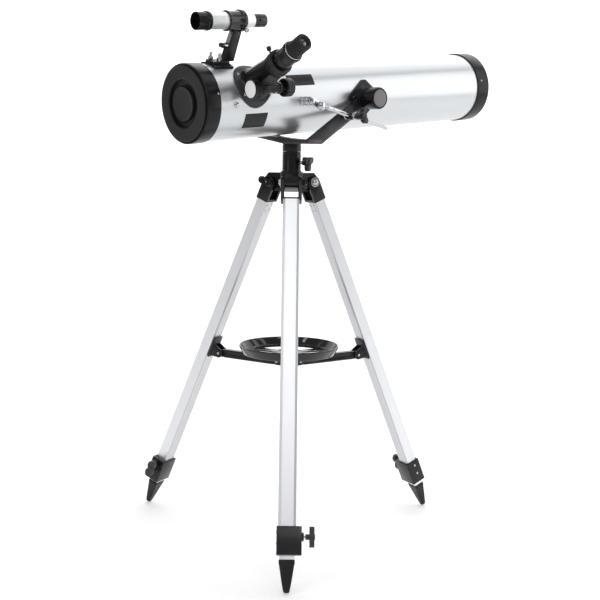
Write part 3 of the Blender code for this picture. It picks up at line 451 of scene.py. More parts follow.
# ---------------------------------------------------------------- tripod head and yoke
def tripod_head():
    """The cast head: a lug for each leg, and the socket of the azimuth shaft."""
    low, high, nose = HINGE_Z - 0.0165, 0.649, 0.0098
    steps = []
    side = [(0.004, high), (HINGE_R + 0.002, high), (HINGE_R + nose, high - 0.0085)]
    side += arc(HINGE_R, HINGE_Z, nose, 0, -70, 14) + [(HINGE_R - 0.01, low), (0.004, low)]
    for azimuth in LEG_AZIMUTHS:
        turn = R(azimuth, 4, "Z")
        lug = moved(prism(side, -LUG_W / 2 + GAP, LUG_W / 2 - GAP), turn @ BACK_Y)
        hole = moved(cylinder(0.0033, -0.02, 0.02, 24), turn @ T((HINGE_R, 0, HINGE_Z)) @ ALONG_Y)
        steps += [plus(lug), minus(hole)]
    base = eased(joined(cylinder(0.021, low + 0.004, high + 0.0012, 64), *steps), 0.0011, 3)
    piece("head_casting", base, "black_satin", COLUMN, "tripod", ("tripod_head",))
    top = STEM_Z - GAP
    socket = joined(lathe([(0.0103, high - 0.004), (HEAD_R + 0.0016, high - 0.004),
        (HEAD_R + 0.0016, high + 0.003), (HEAD_R, high + 0.0042), (HEAD_R, top - 0.004),
        (HEAD_R - 0.0004, top - 0.0036), (HEAD_R - 0.0004, top - 0.003), (HEAD_R, top - 0.0026),
        (HEAD_R, top), (0.0103, top)], 96, closed=True, ease=0.0007),
        minus(moved(cylinder(0.0028, 0, 0.03, 20), T((0, 0, LOCK_Z)) @ R(LOCK_AZIMUTH, 4, "Z") @ ALONG_X)))
    piece("head_socket", socket, "black_satin", COLUMN, "tripod")

    spot = COLUMN @ R(LOCK_AZIMUTH, 4, "Z") @ T((HEAD_R + 0.0065, 0, LOCK_Z)) @ ALONG_X
    piece("azimuth_lock_wing", wing_head(0.0048, 0.006, 0.0148, 0.008, 0.0042), "black_plastic", spot,
        "azimuth_lock", ("azimuth_lock_knob",))
    stud = lathe([(0, 0.001), (0.0024, 0.001), (0.0024, -0.007), (0, -0.007)], 32, ease=0.0004)
    piece("azimuth_lock_stud", stud, "chrome_steel", spot, "azimuth_lock")


def yoke():
    """A plate on the azimuth stem, and two flat arms swept up and back to the altitude axis."""
    slope = atan2(PIVOT_Z - (PLATE_Z + 0.0275), PIVOT_X - 0.027)
    half = ARM_WIDTH / 2
    nx, nz = -sin(slope) * half, cos(slope) * half
    top = PLATE_Z + PLATE_THICK

    def lower_edge(z):
        return PIVOT_X - nx - (PIVOT_Z - nz - z) / tan(slope)

    def upper_edge(z):
        return PIVOT_X + nx - (PIVOT_Z + nz - z) / tan(slope)

    start = degrees(slope)
    front, rear = upper_edge(top), lower_edge(PLATE_Z)
    steps = []
    for sign, low in ((-1, PLATE_Z), (1, PLATE_Z + 0.011)):
        corner = max(low, top)
        side = [(lower_edge(low), low)] + arc(PIVOT_X, PIVOT_Z, half, start - 90, start + 90, 28)
        side += [(upper_edge(corner), corner), (upper_edge(corner), low)]
        near, far = sorted((-sign * ARM_IN, -sign * ARM_OUT))
        steps.append(plus(moved(prism(side, near, far), BACK_Y)))
    outline = [(-ARM_OUT, PLATE_Z), (-0.005, PLATE_Z), (ARM_OUT, PLATE_Z + 0.0112),
        (ARM_OUT, PLATE_Z + 0.034), (ARM_IN, PLATE_Z + 0.034), (0.054, PLATE_Z + 0.0205),
        (0.036, PLATE_Z + 0.0135), (0.018, PLATE_Z + 0.0115), (-0.006, PLATE_Z + 0.0098),
        (-0.03, PLATE_Z + 0.0082), (-0.052, top), (-ARM_OUT, top)]
    plate = prism(outline, front, rear)
    plate.transform(Matrix(((0, 0, 1, 0), (1, 0, 0, 0), (0, 1, 0, 0), (0, 0, 0, 1))))
    for sign in (-1, 1):
        hole = cylinder(0.004, ARM_IN - 0.01, ARM_OUT + 0.01, 32)
        steps.append(minus(moved(hole, T((PIVOT_X, 0, PIVOT_Z)) @ across(sign))))
    steps.append(minus(moved(cylinder(0.0034, ARM_IN - 0.01, ARM_OUT + 0.01, 28), T((ROD_X, 0, ROD_Z))
        @ BACK_Y)))
    piece("yoke_casting", eased(joined(plate, *steps), 0.0009, 3), "black_metal", COLUMN, "yoke",
        ("yoke_fork",))
    piece("yoke_stem", lathe([(0, 0.6525), (0.01, 0.6525), (0.01, STEM_Z), (HEAD_R, STEM_Z),
        (HEAD_R, PLATE_Z - 0.0034), (HEAD_R - 0.0003, PLATE_Z - 0.003), (HEAD_R - 0.0003, PLATE_Z + 0.003),
        (0, PLATE_Z + 0.003)], 96, ease=0.0006), "black_metal", COLUMN, "yoke")


# ---------------------------------------------------------------- altitude controls
def rod_and_clamp():
    """The slow-motion rod with its eye, in a swivelling clamp with its own knob."""
    eye_x, eye_z = over_column(EYE_T, EYE_H)
    end_x, end_z = over_column(ROD_END_T, ROD_END_H)
    angle = atan2(end_z - eye_z, end_x - eye_x)
    length = hypot(end_x - eye_x, end_z - eye_z)
    back = hypot(ROD_X - eye_x, ROD_Z - eye_z)
    base = COLUMN @ T((ROD_X, -ROD_S, ROD_Z)) @ R(-angle, 4, "Y")
    eye = base @ T((-back, 0, 0))
    sleeve = ROD_R + 0.001
    piece("rod_bar", lathe([(0, 0.004), (ROD_R, 0.004), (ROD_R, 0.0115), (sleeve, 0.0115), (sleeve, 0.024),
        (sleeve - 0.0004, 0.0244), (sleeve - 0.0004, 0.025), (sleeve, 0.0254), (sleeve, 0.0555),
        (ROD_R, 0.056), (ROD_R, length), (0, length)], 40, ease=0.0005), "chrome_steel", eye @ ALONG_X, "rod",
        ("altitude_rod",))
    groove = 0.0011
    ball = [(0, 0.0055), (0.003, 0.0055), (0.0058, 0.0047), (0.0074, 0.003), (0.008, groove),
        (0.007, groove * 0.8), (0.007, -groove * 0.8), (0.008, -groove), (0.0074, -0.003), (0.0058, -0.0047),
        (0.003, -0.0055), (0, -0.0055)]
    piece("rod_eye", lathe(rounded(ball, 0.0006, 2, closed=False), 48), "chrome_steel", eye @ ALONG_Y, "rod")

    hole = moved(cylinder(ROD_R + 0.0004, -0.02, 0.02, 32), ALONG_X)
    block = moved(lathe([(0, 0.006), (0.0068, 0.006), (0.0068, -0.0068), (0, -0.0068)], 192,
        ripple=(36, 0.0004, -0.006, 0.0052), ease=0.0007), BACK_Y)
    piece("rod_clamp_block", joined(block, minus(hole)), "black_metal", base, "rod_swivel_clamp",
        ("rod_clamp",), 50)
    piece("rod_clamp_stud", lathe([(0, ROD_S - ARM_IN + 0.002), (0.0031, ROD_S - ARM_IN + 0.002),
        (0.0031, ROD_S - ARM_OUT - GAP), (0.0055, ROD_S - ARM_OUT - GAP), (0.0055, 0.012), (0.0048, 0.0114),
        (0.0048, 0.01), (0.0055, 0.0094), (0.0055, 0.006), (0, 0.006)], 48, ease=0.0004), "chrome_steel", base
        @ ALONG_Y, "rod_swivel_clamp")
    knob = moved(wing_head(0.0062, 0.0165, 0.015, 0.0075, 0.0048), R(-radians(40), 4, "Z"))
    spot = base @ T((0, -0.0074, 0)) @ BACK_Y
    piece("rod_lock_wing", knob, "black_plastic", spot, "rod_lock", ("rod_clamp_knob",))
    piece("rod_lock_collar", lathe([(0.006, 0.0012), (0.0071, 0.0012), (0.0071, 0.005), (0.0066, 0.0056),
        (0.0066, 0.0066), (0.0071, 0.0072), (0.0071, 0.01), (0.006, 0.01)], 72, closed=True, ease=0.0004),
        "chrome_steel", spot, "rod_lock")


def altitude_knobs():
    """Knurled friction knobs with speckled discs, on both ends of the altitude axis."""
    out, grip = 0.1045 - ARM_OUT - GAP, 0.019
    profile = rounded([(0, out - 0.0012), (0.0155, out - 0.0012), (0.016, out), (0.0168, out),
        (grip, out - 0.003), (grip, 0.004), (0.016, 0.0016), (0.015, 0.0012), (0.015, 0), (0.0035, 0),
        (0.0035, -0.008), (0, -0.008)], 0.0009, closed=False)
    disc = rounded([(0, out - 0.0004), (0.0148, out - 0.0004), (0.0153, out - 0.0009), (0, out - 0.0009)],
        0.0003, closed=False)
    for name, sign in (("near", -1), ("far", 1)):
        spot = COLUMN @ T((PIVOT_X, sign * (ARM_OUT + GAP), PIVOT_Z)) @ across(sign)
        body = lathe(profile, 360, ripple=(60, 0.0006, 0.005, out - 0.0042))
        piece(f"altitude_grip_{name}", body, "black_plastic", spot, f"altitude_lock_{name}",
            (f"altitude_knob_{name}",), 50)
        piece(f"altitude_disc_{name}", lathe(disc, 96), "grey_disc", spot, f"altitude_lock_{name}")


# ---------------------------------------------------------------- optical tube
def tube_shell():
    inner = TUBE_R - 0.0012
    profile = [(inner, TUBE_T0), (inner, TUBE_T1), (TUBE_R, TUBE_T1), (TUBE_R, TUBE_T0)]
    shell = moved(lathe(profile, 256, closed=True), ALONG_X)
    port = moved(cylinder(0.016, 0.03, 0.08, 64), turned(FOCUS_T, FOCUS_ANGLE))
    piece("tube_shell", joined(shell, minus(port)), "silver_paint", TUBE, "optical_tube", ("main_tube",))
    for name, t0, t1, a0, a1 in (
            ("label_front", -0.152, -0.1055, -44, -19.5), ("label_side", -0.057, 0, 18.5, 37)):
        piece(name + "_edge", tube_patch(t0, t1, a0, a1, 0.00002, 0.00035), "label_edge", TUBE)
        piece(name, tube_patch(t0 + 0.0012, t1 - 0.0012, a0 + 1.1, a1 - 1.1, 0.0002, 0.0005), "label_plate",
            TUBE)
    nut = [(0, 0.003)] + [(0.0048 * sin(radians(a)), 0.0004 + 0.0026 * cos(radians(a)))
        for a in (15, 30, 45, 60, 75, 88)] + [(0.0048, -0.0008), (0, -0.0008)]
    for number, turn in enumerate((-5, -125, 115)):
        piece(f"spider_nut_{number}", lathe(nut, 48), "chrome_steel", on_tube(-0.173, turn, TUBE_R))
    for name, t, first in (("front", -0.208, 12.7), ("rear", 0.427, 10.1)):
        for number, turn in enumerate((first, first + 120, first - 120)):
            screw(f"{name}_ring_screw_{number}", 0.0019, 0.0011, on_tube(t, turn, RING_R - 0.0002))


def end_pieces():
    """The front ring and its two caps, and the mirror's cell with its adjusting screws."""
    width, wall = FRONT_RING_W, TUBE_R + GAP
    step = TUBE_T0 - FRONT_FACE
    front = TUBE @ T((FRONT_FACE, 0, 0)) @ BACK_X
    piece("front_ring_moulding", lathe([(0.0575, -0.0046), (0.0612, -0.0046), (0.0616, -0.003),
        (0.064, -0.0026), (RING_R, -0.004), (RING_R, -width + 0.0006), (RING_R - 0.0006, -width),
        (wall, -width), (wall, -step + GAP), (0.0575, -step + GAP)], 192, closed=True, ease=0.0007),
        "black_plastic", front, "optical_tube", ("front_ring",))
    lip, seat = 0.0575 - GAP, 0.0306
    piece("dust_cap_moulding", lathe([(seat, -0.0086), (0.0374, -0.0086), (0.0382, -0.008), (0.0394, -0.001),
        (0.0406, -0.0003), (0.0592, -0.0003), (0.06, -0.0002), (0.0609, -0.001), (0.0609, -0.004),
        (lip, -0.004), (lip, -0.012), (lip - 0.002, -0.012), (lip - 0.002, -0.0045), (0.041, -0.0045),
        (0.0398, -0.0105), (seat, -0.0105)], 192, closed=True, ease=0.0008), "cap_black", front, "dust_cover",
        ("dust_cap",))
    inner = seat - GAP
    piece("aperture_cap_moulding", lathe([(0, 0.0001), (0.025, 0.0001), (0.0258, 0.0005), (0.0268, 0.0005),
        (0.0276, -0.0006), (0.0282, -0.008), (inner, -0.0086), (inner, -0.012), (inner - 0.0016, -0.012),
        (inner - 0.002, -0.01), (0.0262, -0.004), (0, -0.004)], 160, ease=0.0007), "cap_black", front,
        "aperture_cover", ("aperture_cap",))

    rear = TUBE @ T((REAR_FACE, 0, 0)) @ ALONG_X
    step = REAR_FACE - TUBE_T1 - GAP
    piece("rear_cell_moulding", lathe([(0, -0.0022), (0.056, -0.0022), (0.0568, -0.0002), (0.0622, 0),
        (RING_R, -0.002), (RING_R, -REAR_RING_W + 0.0006), (RING_R - 0.0006, -REAR_RING_W),
        (wall, -REAR_RING_W), (wall, -step), (0.056, -step), (0.0555, -0.0037), (0, -0.0037)], 192,
        ease=0.0007), "black_plastic", rear, "optical_tube", ("rear_cell",))
    knob = rounded([(0, -0.0003), (0.0052, -0.0003), (0.0062, -0.001), (0.0062, -0.0022), (0, -0.0022)],
        0.0003, closed=False)
    for number in range(3):
        for kind, turn in (("adjuster", 120 * number + 30), ("locker", 120 * number + 52)):
            angle = radians(turn)
            spot = rear @ T((0.034 * cos(angle), 0.034 * sin(angle), 0))
            if kind == "adjuster":
                piece(f"mirror_adjuster_{number}", lathe(knob, 120, ripple=(20, 0.0004, -0.0018, -0.0006)),
                    "chrome_steel", spot, smooth=50)
            else:
                screw(f"mirror_locker_{number}", 0.0026, 0.0018, spot @ T((0, 0, -0.0022)))


def trunnions():
    half, high = 0.037, 0.03
    for name, sign in (("near", -1), ("far", 1)):
        outline = (arc(half - 0.006, 0, 0.006, -50, 50, 12) + arc(0, high - 0.006, 0.006, 50, 130, 12)
            + arc(-half + 0.006, 0, 0.006, 130, 230, 12) + arc(0, -high + 0.006, 0.006, 230, 310, 12))
        face = ARM_IN - GAP
        lift = T((PIVOT_T, 0, PIVOT_H + 0.003)) @ across(sign)
        blank = moved(prism(outline, face - 0.02, face), lift)
        hollow = core(GAP, -0.05, 0.3, 192)
        bore = moved(cylinder(0.004, 0.05, 0.09, 32), T((PIVOT_T, 0, PIVOT_H)) @ across(sign))
        plate = eased(joined(blank, minus(hollow), minus(bore)), 0.0007, 3)
        piece(f"trunnion_{name}", plate, "black_plastic", TUBE, "optical_tube", (f"trunnion_plate_{name}",))
        for place, t in (("front", 0.0839), ("rear", 0.1381)):
            spot = TUBE @ T((t, sign * (face - 0.0004), -0.0055)) @ across(sign)
            screw(f"trunnion_screw_{name}_{place}", 0.0027, 0.0003 + GAP, spot)


def rod_anchor():
    """The chrome post on the tube, and the link that the rod's eye works against."""
    link_in, link_out = ROD_S - 0.0055 - 0.0042, ROD_S - 0.0055 - 0.0006
    base = TUBE @ T((POST_T, 0, POST_H)) @ BACK_Y
    low = TUBE_R + 0.0006
    piece("rod_post_turned", lathe([(0, low), (0.0075, low), (0.0075, low + 0.003), (0.0066, low + 0.0036),
        (0.0066, low + 0.0046), (0.0075, low + 0.0052), (0.0075, link_in - 0.0058),
        (0.0064, link_in - 0.0052), (0.0064, link_in - 0.004), (0.0075, link_in - 0.0034), (0.0075, link_in),
        (0, link_in)], 180, ripple=(36, 0.0004, low + 0.0056, link_in - 0.0062), ease=0.0004), "chrome_steel",
        base, "optical_tube", ("rod_post",), 50)
    run = hypot(EYE_T - POST_T, EYE_H - POST_H)
    tilt = atan2(EYE_H - POST_H, EYE_T - POST_T)
    bar = prism(arc(0, 0, 0.0065, 90, 270, 24) + arc(run, 0, 0.006, -90, 90, 24), link_in + 0.0001, link_out)
    link = moved(joined(bar, plus(cylinder(0.0048, link_out - 0.001, link_out + 0.003, 40))), R(tilt, 4, "Z"))
    piece("rod_link", eased(link, 0.0005, 2), "chrome_steel", base)


# ---------------------------------------------------------------- focuser and eyepiece
def focuser():
    flange = lathe([(0, 0.04), (0.038, 0.04), (0.0345, 0.069), (0, 0.069)], 160)
    flange.transform(T((-0.0027, 0, 0)) @ Matrix.Diagonal((1, 1.03, 1, 1)))
    skin = core(SADDLE, -0.05, 0.05)
    hollow = core(GAP, -0.06, 0.06)
    saddle = joined(flange, ("INTERSECT", skin), minus(hollow), minus(cylinder(0.0205, 0, 0.1, 96)))
    piece("focuser_saddle", eased(saddle, 0.0009, 3, 50), "black_plastic", FOCUS, "optical_tube",
        ("focuser_base",), 30)
    for number, turn in enumerate((38, 142, 218, 322)):
        angle = radians(turn)
        x, y = 0.0292 * cos(angle) - 0.0027, 0.0292 * sin(angle)
        lift = ((TUBE_R + SADDLE) ** 2 - y ** 2) ** 0.5
        spot = FOCUS @ T((x, y, lift - 0.0004)) @ R(-atan2(y, lift), 4, "X")
        screw(f"saddle_screw_{number}", 0.0026, 0.0016, spot)

    pinion = T((PINION_T, PINION_OFF, PINION_RHO))
    profile = [(0, -0.018), (0.0105, -0.018), (0.0105, -0.006), (0.0088, -0.0035), (0.0088, 0.016),
        (0.0096, 0.0175), (0.0096, 0.022), (0, 0.022)]
    block = moved(lathe(profile, 96, ease=0.0012), pinion @ ALONG_X)
    web = box((0.03, 0.018, 0.0165), (PINION_T, PINION_OFF + 0.009, PINION_RHO))
    housing = joined(lathe([(0, 0.064), (0.0285, 0.064), (0.0255, 0.0668), (0.0236, 0.07), (0.019, 0.1215),
        (0.0196, 0.122), (0.0196, 0.1248), (0.019, 0.1255), (0, 0.1255)], 128, ease=0.0008), plus(web),
        plus(block), minus(core(0.002, -0.06, 0.06)), minus(cylinder(0.016, 0.03, 0.14, 96)),
        minus(moved(cylinder(0.0027, -0.03, 0.03, 28), pinion @ ALONG_X)),
        minus(moved(cylinder(0.0072, -0.0055, 0.0055, 40), pinion @ ALONG_X)))
    piece("focuser_housing", eased(housing, 0.0006, 2, 50), "black_plastic", FOCUS, smooth=35)
    for number, x in enumerate((0.001, 0.011)):
        spot = FOCUS @ T((PINION_T + x, PINION_OFF - 0.0086, PINION_RHO)) @ BACK_Y
        screw(f"pinion_cap_screw_{number}", 0.0021, 0.0013, spot)

    profile = rounded([(0.013, 0.052), (0.0157, 0.052), (0.0157, 0.1275), (0.02, 0.1275), (0.021, 0.1288),
        (0.021, 0.1418), (0.02, 0.143), (0.013, 0.143)], 0.0006)
    screw_at = T((-0.0098, 0.0201, 0.135)) @ R(radians(26), 4, "Z") @ R(-radians(64), 4, "X")
    collar = lathe(profile, 288, closed=True, ripple=(48, 0.0006, 0.1285, 0.142))
    collar = joined(collar, minus(moved(cylinder(0.0019, -0.006, 0.01, 20), screw_at)))
    piece("drawtube_turned", collar, "black_satin", FOCUS, "drawtube", ("focuser_drawtube",), 50)
    piece("eyepiece_thumb_screw", lathe([(0, -0.004), (0.0015, -0.004), (0.0015, 0.0022), (0.0038, 0.0022),
        (0.0038, 0.0088), (0, 0.0088)], 96, ripple=(16, 0.0004, 0.0027, 0.0083), ease=0.0005), "black_satin",
        FOCUS @ screw_at, "ocular_lock", ("eyepiece_lock_screw",), 50)

    axle = rounded([(0, -0.034), (0.0024, -0.034), (0.0024, 0.039), (0, 0.039)], 0.0004, closed=False)
    gear = lathe([(0, -0.0048), (0.0062, -0.0048), (0.0062, 0.0048), (0, 0.0048)], 108,
        ripple=(18, 0.0014, -0.005, 0.005))
    spot = FOCUS @ pinion @ ALONG_X
    piece("pinion_gear", joined(lathe(axle, 32), plus(gear)), "chrome_steel", spot, "pinion",
        ("focus_pinion",))
    for name, sign, near in (("front", -1, 0.019), ("rear", 1, 0.024)):
        far = near + 0.02
        profile = rounded([(0, far - 0.001), (0.0139, far - 0.001), (0.0141, far), (0.0146, far - 0.0002),
            (0.015, far - 0.0014), (0.015, near + 0.0062), (0.0138, near + 0.0046), (0.0062, near + 0.0038),
            (0.0062, near), (0.0027, near), (0.0027, far - 0.0047), (0, far - 0.0047)], 0.0006, closed=False)
        spot = FOCUS @ pinion @ (ALONG_X if sign > 0 else BACK_X)
        body = lathe(profile, 300, ripple=(50, 0.0006, near + 0.0068, far - 0.002))
        piece(f"focus_grip_{name}", body, "black_plastic", spot, "pinion", (f"focus_knob_{name}",), 50)
        piece(f"focus_disc_{name}", lathe([(0, far - 0.0001), (0.013, far - 0.0002), (0.0138, far - 0.0007),
            (0, far - 0.0008)], 96, ease=0.0002), "white_disc", spot, "pinion")

    piece("adapter_turned", lathe([(0.0121, 0.118), (0.0126, 0.118), (0.0126, 0.1433), (0.0162, 0.1433),
        (0.0162, 0.156), (0.0157, 0.1565), (0.0157, 0.158), (0.0162, 0.1585), (0.0162, 0.169), (0.0176, 0.17),
        (0.0176, 0.174), (0.0168, 0.175), (0.0121, 0.175)], 128, closed=True, ease=0.0005), "black_satin",
        FOCUS, "adapter", ("eyepiece_adapter",))
    piece("eyepiece_barrel", lathe([(0, 0.145), (0.0117, 0.145), (0.0117, 0.1753), (0.016, 0.1753),
        (0.016, 0.1766), (0.0156, 0.1772), (0, 0.1772)], 128, ease=0.0004), "chrome_steel", FOCUS, "ocular",
        ("eyepiece",))
    grip = [(0, 0.1774), (0.0158, 0.1774), (0.016, 0.1785), (0.014, 0.18)]
    for rib in range(5):
        z = 0.1822 + 0.004 * rib
        grip += [(0.0137, z), (0.0137, z + 0.0023), (0.0128, z + 0.0027), (0.0128, z + 0.0035)]
    grip += [(0.0137, 0.203), (0.0137, 0.205), (0.0121, 0.2069), (0.0088, 0.2069), (0.0066, 0.203),
        (0, 0.203)]
    piece("eyepiece_grip", lathe(rounded(grip, 0.0003, 2, closed=False), 128), "rubber_black", FOCUS,
        "ocular", smooth=25)
    piece("eye_lens", lathe(dome(0.0064, 0.2029, 0.0012, 0.2026), 64), "lens_glass", FOCUS, "ocular")


# ---------------------------------------------------------------- finder
def finder():
    """The straight finder, in a ring on a leaning bracket with its adjusting screws."""
    frame_up = TUBE @ R(pi / 2 - FINDER_ANGLE, 4, "X")
    axis = FINDER @ ALONG_X
    middle = -0.1715
    pad = joined(box((0.037, 0.04, 0.02), (middle, 0, 0.06)), ("INTERSECT", core(0.003, -0.3, 0.0)),
        minus(core(GAP, -0.3, 0.0)))
    piece("finder_pad", eased(pad, 0.0009, 3, 50), "black_plastic", frame_up, "optical_tube",
        ("finder_bracket",), 30)
    step = joined(box((0.033, 0.022, 0.01), (middle, 0, 0.0645)), minus(core(0.002, -0.3, 0.0)))
    lean = [(-0.1635, 0.068), (-0.1425, 0.068), (-0.1365, 0.096), (-0.1315, 0.119), (-0.149, 0.119)]
    stalk = moved(prism(lean, -0.0055, 0.0055), BACK_Y)
    lever = moved(prism(arc(-0.166, 0.0935, 0.004, 90, 270, 16) + [(-0.145, 0.0895), (-0.145, 0.0975)],
        -0.00425, 0.00425), BACK_Y)
    piece("finder_foot", eased(step, 0.0009, 3), "black_plastic", frame_up)
    piece("finder_stalk", eased(joined(stalk, plus(lever)), 0.0009, 3), "black_satin", frame_up)
    # A chrome inlay along the lever: a painted highlight standing in for the long streak of light on the
    # black lever.
    inlay = moved(prism(arc(-0.1655, 0.0935, 0.0017, 90, 270, 12) + [(-0.153, 0.0918), (-0.153, 0.0952)],
        -0.0046, 0.0046), BACK_Y)
    piece("lever_highlight_inlay", eased(inlay, 0.0003, 2), "chrome_steel", frame_up)
    # A thin chrome strip on the stalk's front edge: a painted highlight standing in for the bright reflection
    # on that face.
    slant = atan2(0.0145, 0.051)
    strip = moved(box((0.001, 0.0092, 0.02)), T((-0.1531, 0, 0.1062)) @ R(slant, 4, "Y"))
    piece("stalk_highlight_strip", eased(strip, 0.0003, 2), "chrome_steel", frame_up)
    nut = rounded([(0, 0), (0.0042, 0), (0.0042, 0.0052), (0.0034, 0.0058), (0.0026, 0.006), (0.0026, 0.0124),
        (0.0014, 0.013), (0, 0.013)], 0.0005, closed=False)
    for number, (t, y) in enumerate(((-0.1735, -0.0064), (-0.1815, 0.0064))):
        piece(f"bracket_thumb_nut_{number}", lathe(nut, 96, ripple=(16, 0.0004, 0.0006, 0.0048)),
            "chrome_steel", frame_up @ T((t, y, 0.0694)), smooth=50)

    t0, t1, bore = CLAMP_T0, CLAMP_T1, FINDER_R + GAP
    piece("finder_clamp_ring", lathe([(bore, t0), (0.0162, t0), (0.0168, t0 + 0.001), (0.0168, t0 + 0.0032),
        (0.016, t0 + 0.0042), (0.016, t1 - 0.0105), (0.0166, t1 - 0.0092), (0.018, t1 - 0.0086),
        (0.018, t1 - 0.0012), (0.0172, t1), (bore, t1)], 128, closed=True, ease=0.0006), "gloss_black", axis)
    grip = rounded([(0, -0.004), (0.0016, -0.004), (0.0016, 0), (0.0042, 0), (0.0042, 0.0062), (0, 0.0062)],
        0.0006, closed=False)
    for number, turn in enumerate((-28, 208)):
        spot = FINDER @ turned(t1 - 0.0048, radians(turn)) @ T((0, 0, 0.0196))
        piece(f"finder_screw_{number}", lathe(grip, 108, ripple=(18, 0.0004, 0.0007, 0.0055)), "chrome_steel",
            spot, smooth=50)

    inner, end, front = FINDER_R - 0.0012, -0.109, HOOD_T
    # The barrel takes the lighter copy of the silver paint: painted light.
    piece("finder_barrel", lathe([(0.0098, end), (0.0112, end), (FINDER_R - 0.0003, end - 0.0165),
        (FINDER_R, end - 0.018), (FINDER_R, front), (0.0116, front), (0.0116, front - 0.006),
        (0.0104, front - 0.006), (0.0104, front + 0.002), (inner, front + 0.005), (inner, end - 0.017),
        (0.0098, end - 0.005)], 128, closed=True, ease=0.0004), "silver_bright", axis, "optical_tube",
        ("finder_tube",))
    front -= GAP
    piece("finder_dew_hood", lathe([(0.0119, front), (0.015, front), (0.0156, front - 0.0012),
        (0.0156, front - 0.0056), (0.0148, front - 0.007), (0.0144, front - 0.0076),
        (0.0144, HOOD_T - 0.0246), (0.014, HOOD_T - 0.025), (0.0132, HOOD_T - 0.025),
        (0.0129, HOOD_T - 0.024), (0.0119, front - 0.014)], 128, closed=True, ease=0.0004), "black_satin",
        axis, "optical_tube", ("finder_hood",))
    objective = [(0, front - 0.009)] + [(0.0113 * i / 8, front - 0.009 + 0.0022 * (i / 8) ** 2)
        for i in range(1, 9)]
    lens = objective + [(0.0113, front - 0.0064), (0, front - 0.0064)]
    piece("finder_objective", lathe(lens, 96), "lens_glass", axis)
    piece("finder_ocular", lathe([(0, end - 0.0045), (0.0095, end - 0.0045), (0.0095, end + GAP),
        (0.0112, end + GAP), (0.0112, end + 0.005), (0.0106, end + 0.0056), (0.0106, end + 0.0066),
        (0.0112, end + 0.0072), (0.0112, -0.085), (0.01, -0.0836), (0.0062, -0.0836), (0.0047, -0.0856),
        (0, -0.0856)], 128, ease=0.0006), "gloss_black", axis, "optical_tube", ("finder_eyepiece",))
    piece("finder_eye_lens", lathe(dome(0.0046, -0.0857, 0.0009, -0.086), 48), "lens_glass", axis)
    spot = FINDER @ turned(-0.1946, radians(-20)) @ T((0, 0, FINDER_R - 0.0002))
    screw("finder_set_screw_0", 0.0018, 0.0012, spot)


# ---------------------------------------------------------------- legs
def extrusion():
    """The leg's outer section: a flat front and back, each with a groove and a sloping strip at its sides."""
    half = [(LEG_D / 2, 0.0), (LEG_D / 2, 0.0094), (LEG_D / 2 - 0.0007, 0.0096), (LEG_D / 2 - 0.0007, 0.0101),
        (LEG_D / 2 - 0.0002, 0.0103), (LEG_D / 2 - 0.0013, LEG_W / 2 - 0.0006),
        (LEG_D / 2 - 0.0022, LEG_W / 2)]
    front = [(x, -y) for x, y in reversed(half[1:])] + half[1:]
    return front + [(-x, y) for x, y in reversed(front)]


def section(half_x, half_y, corner, steps=5):
    """A box section with round corners."""
    points = []
    for sx, sy, start in ((1, 1, 0), (-1, 1, 90), (-1, -1, 180), (1, -1, 270)):
        points += arc(sx * (half_x - corner), sy * (half_y - corner), corner, start, start + 90, steps)
    return points


def leg_place(radius, z):
    out, up = radius - HINGE_R, z - HINGE_Z
    return out * cos(LEG_TILT) + up * sin(LEG_TILT), -out * sin(LEG_TILT) + up * cos(LEG_TILT)


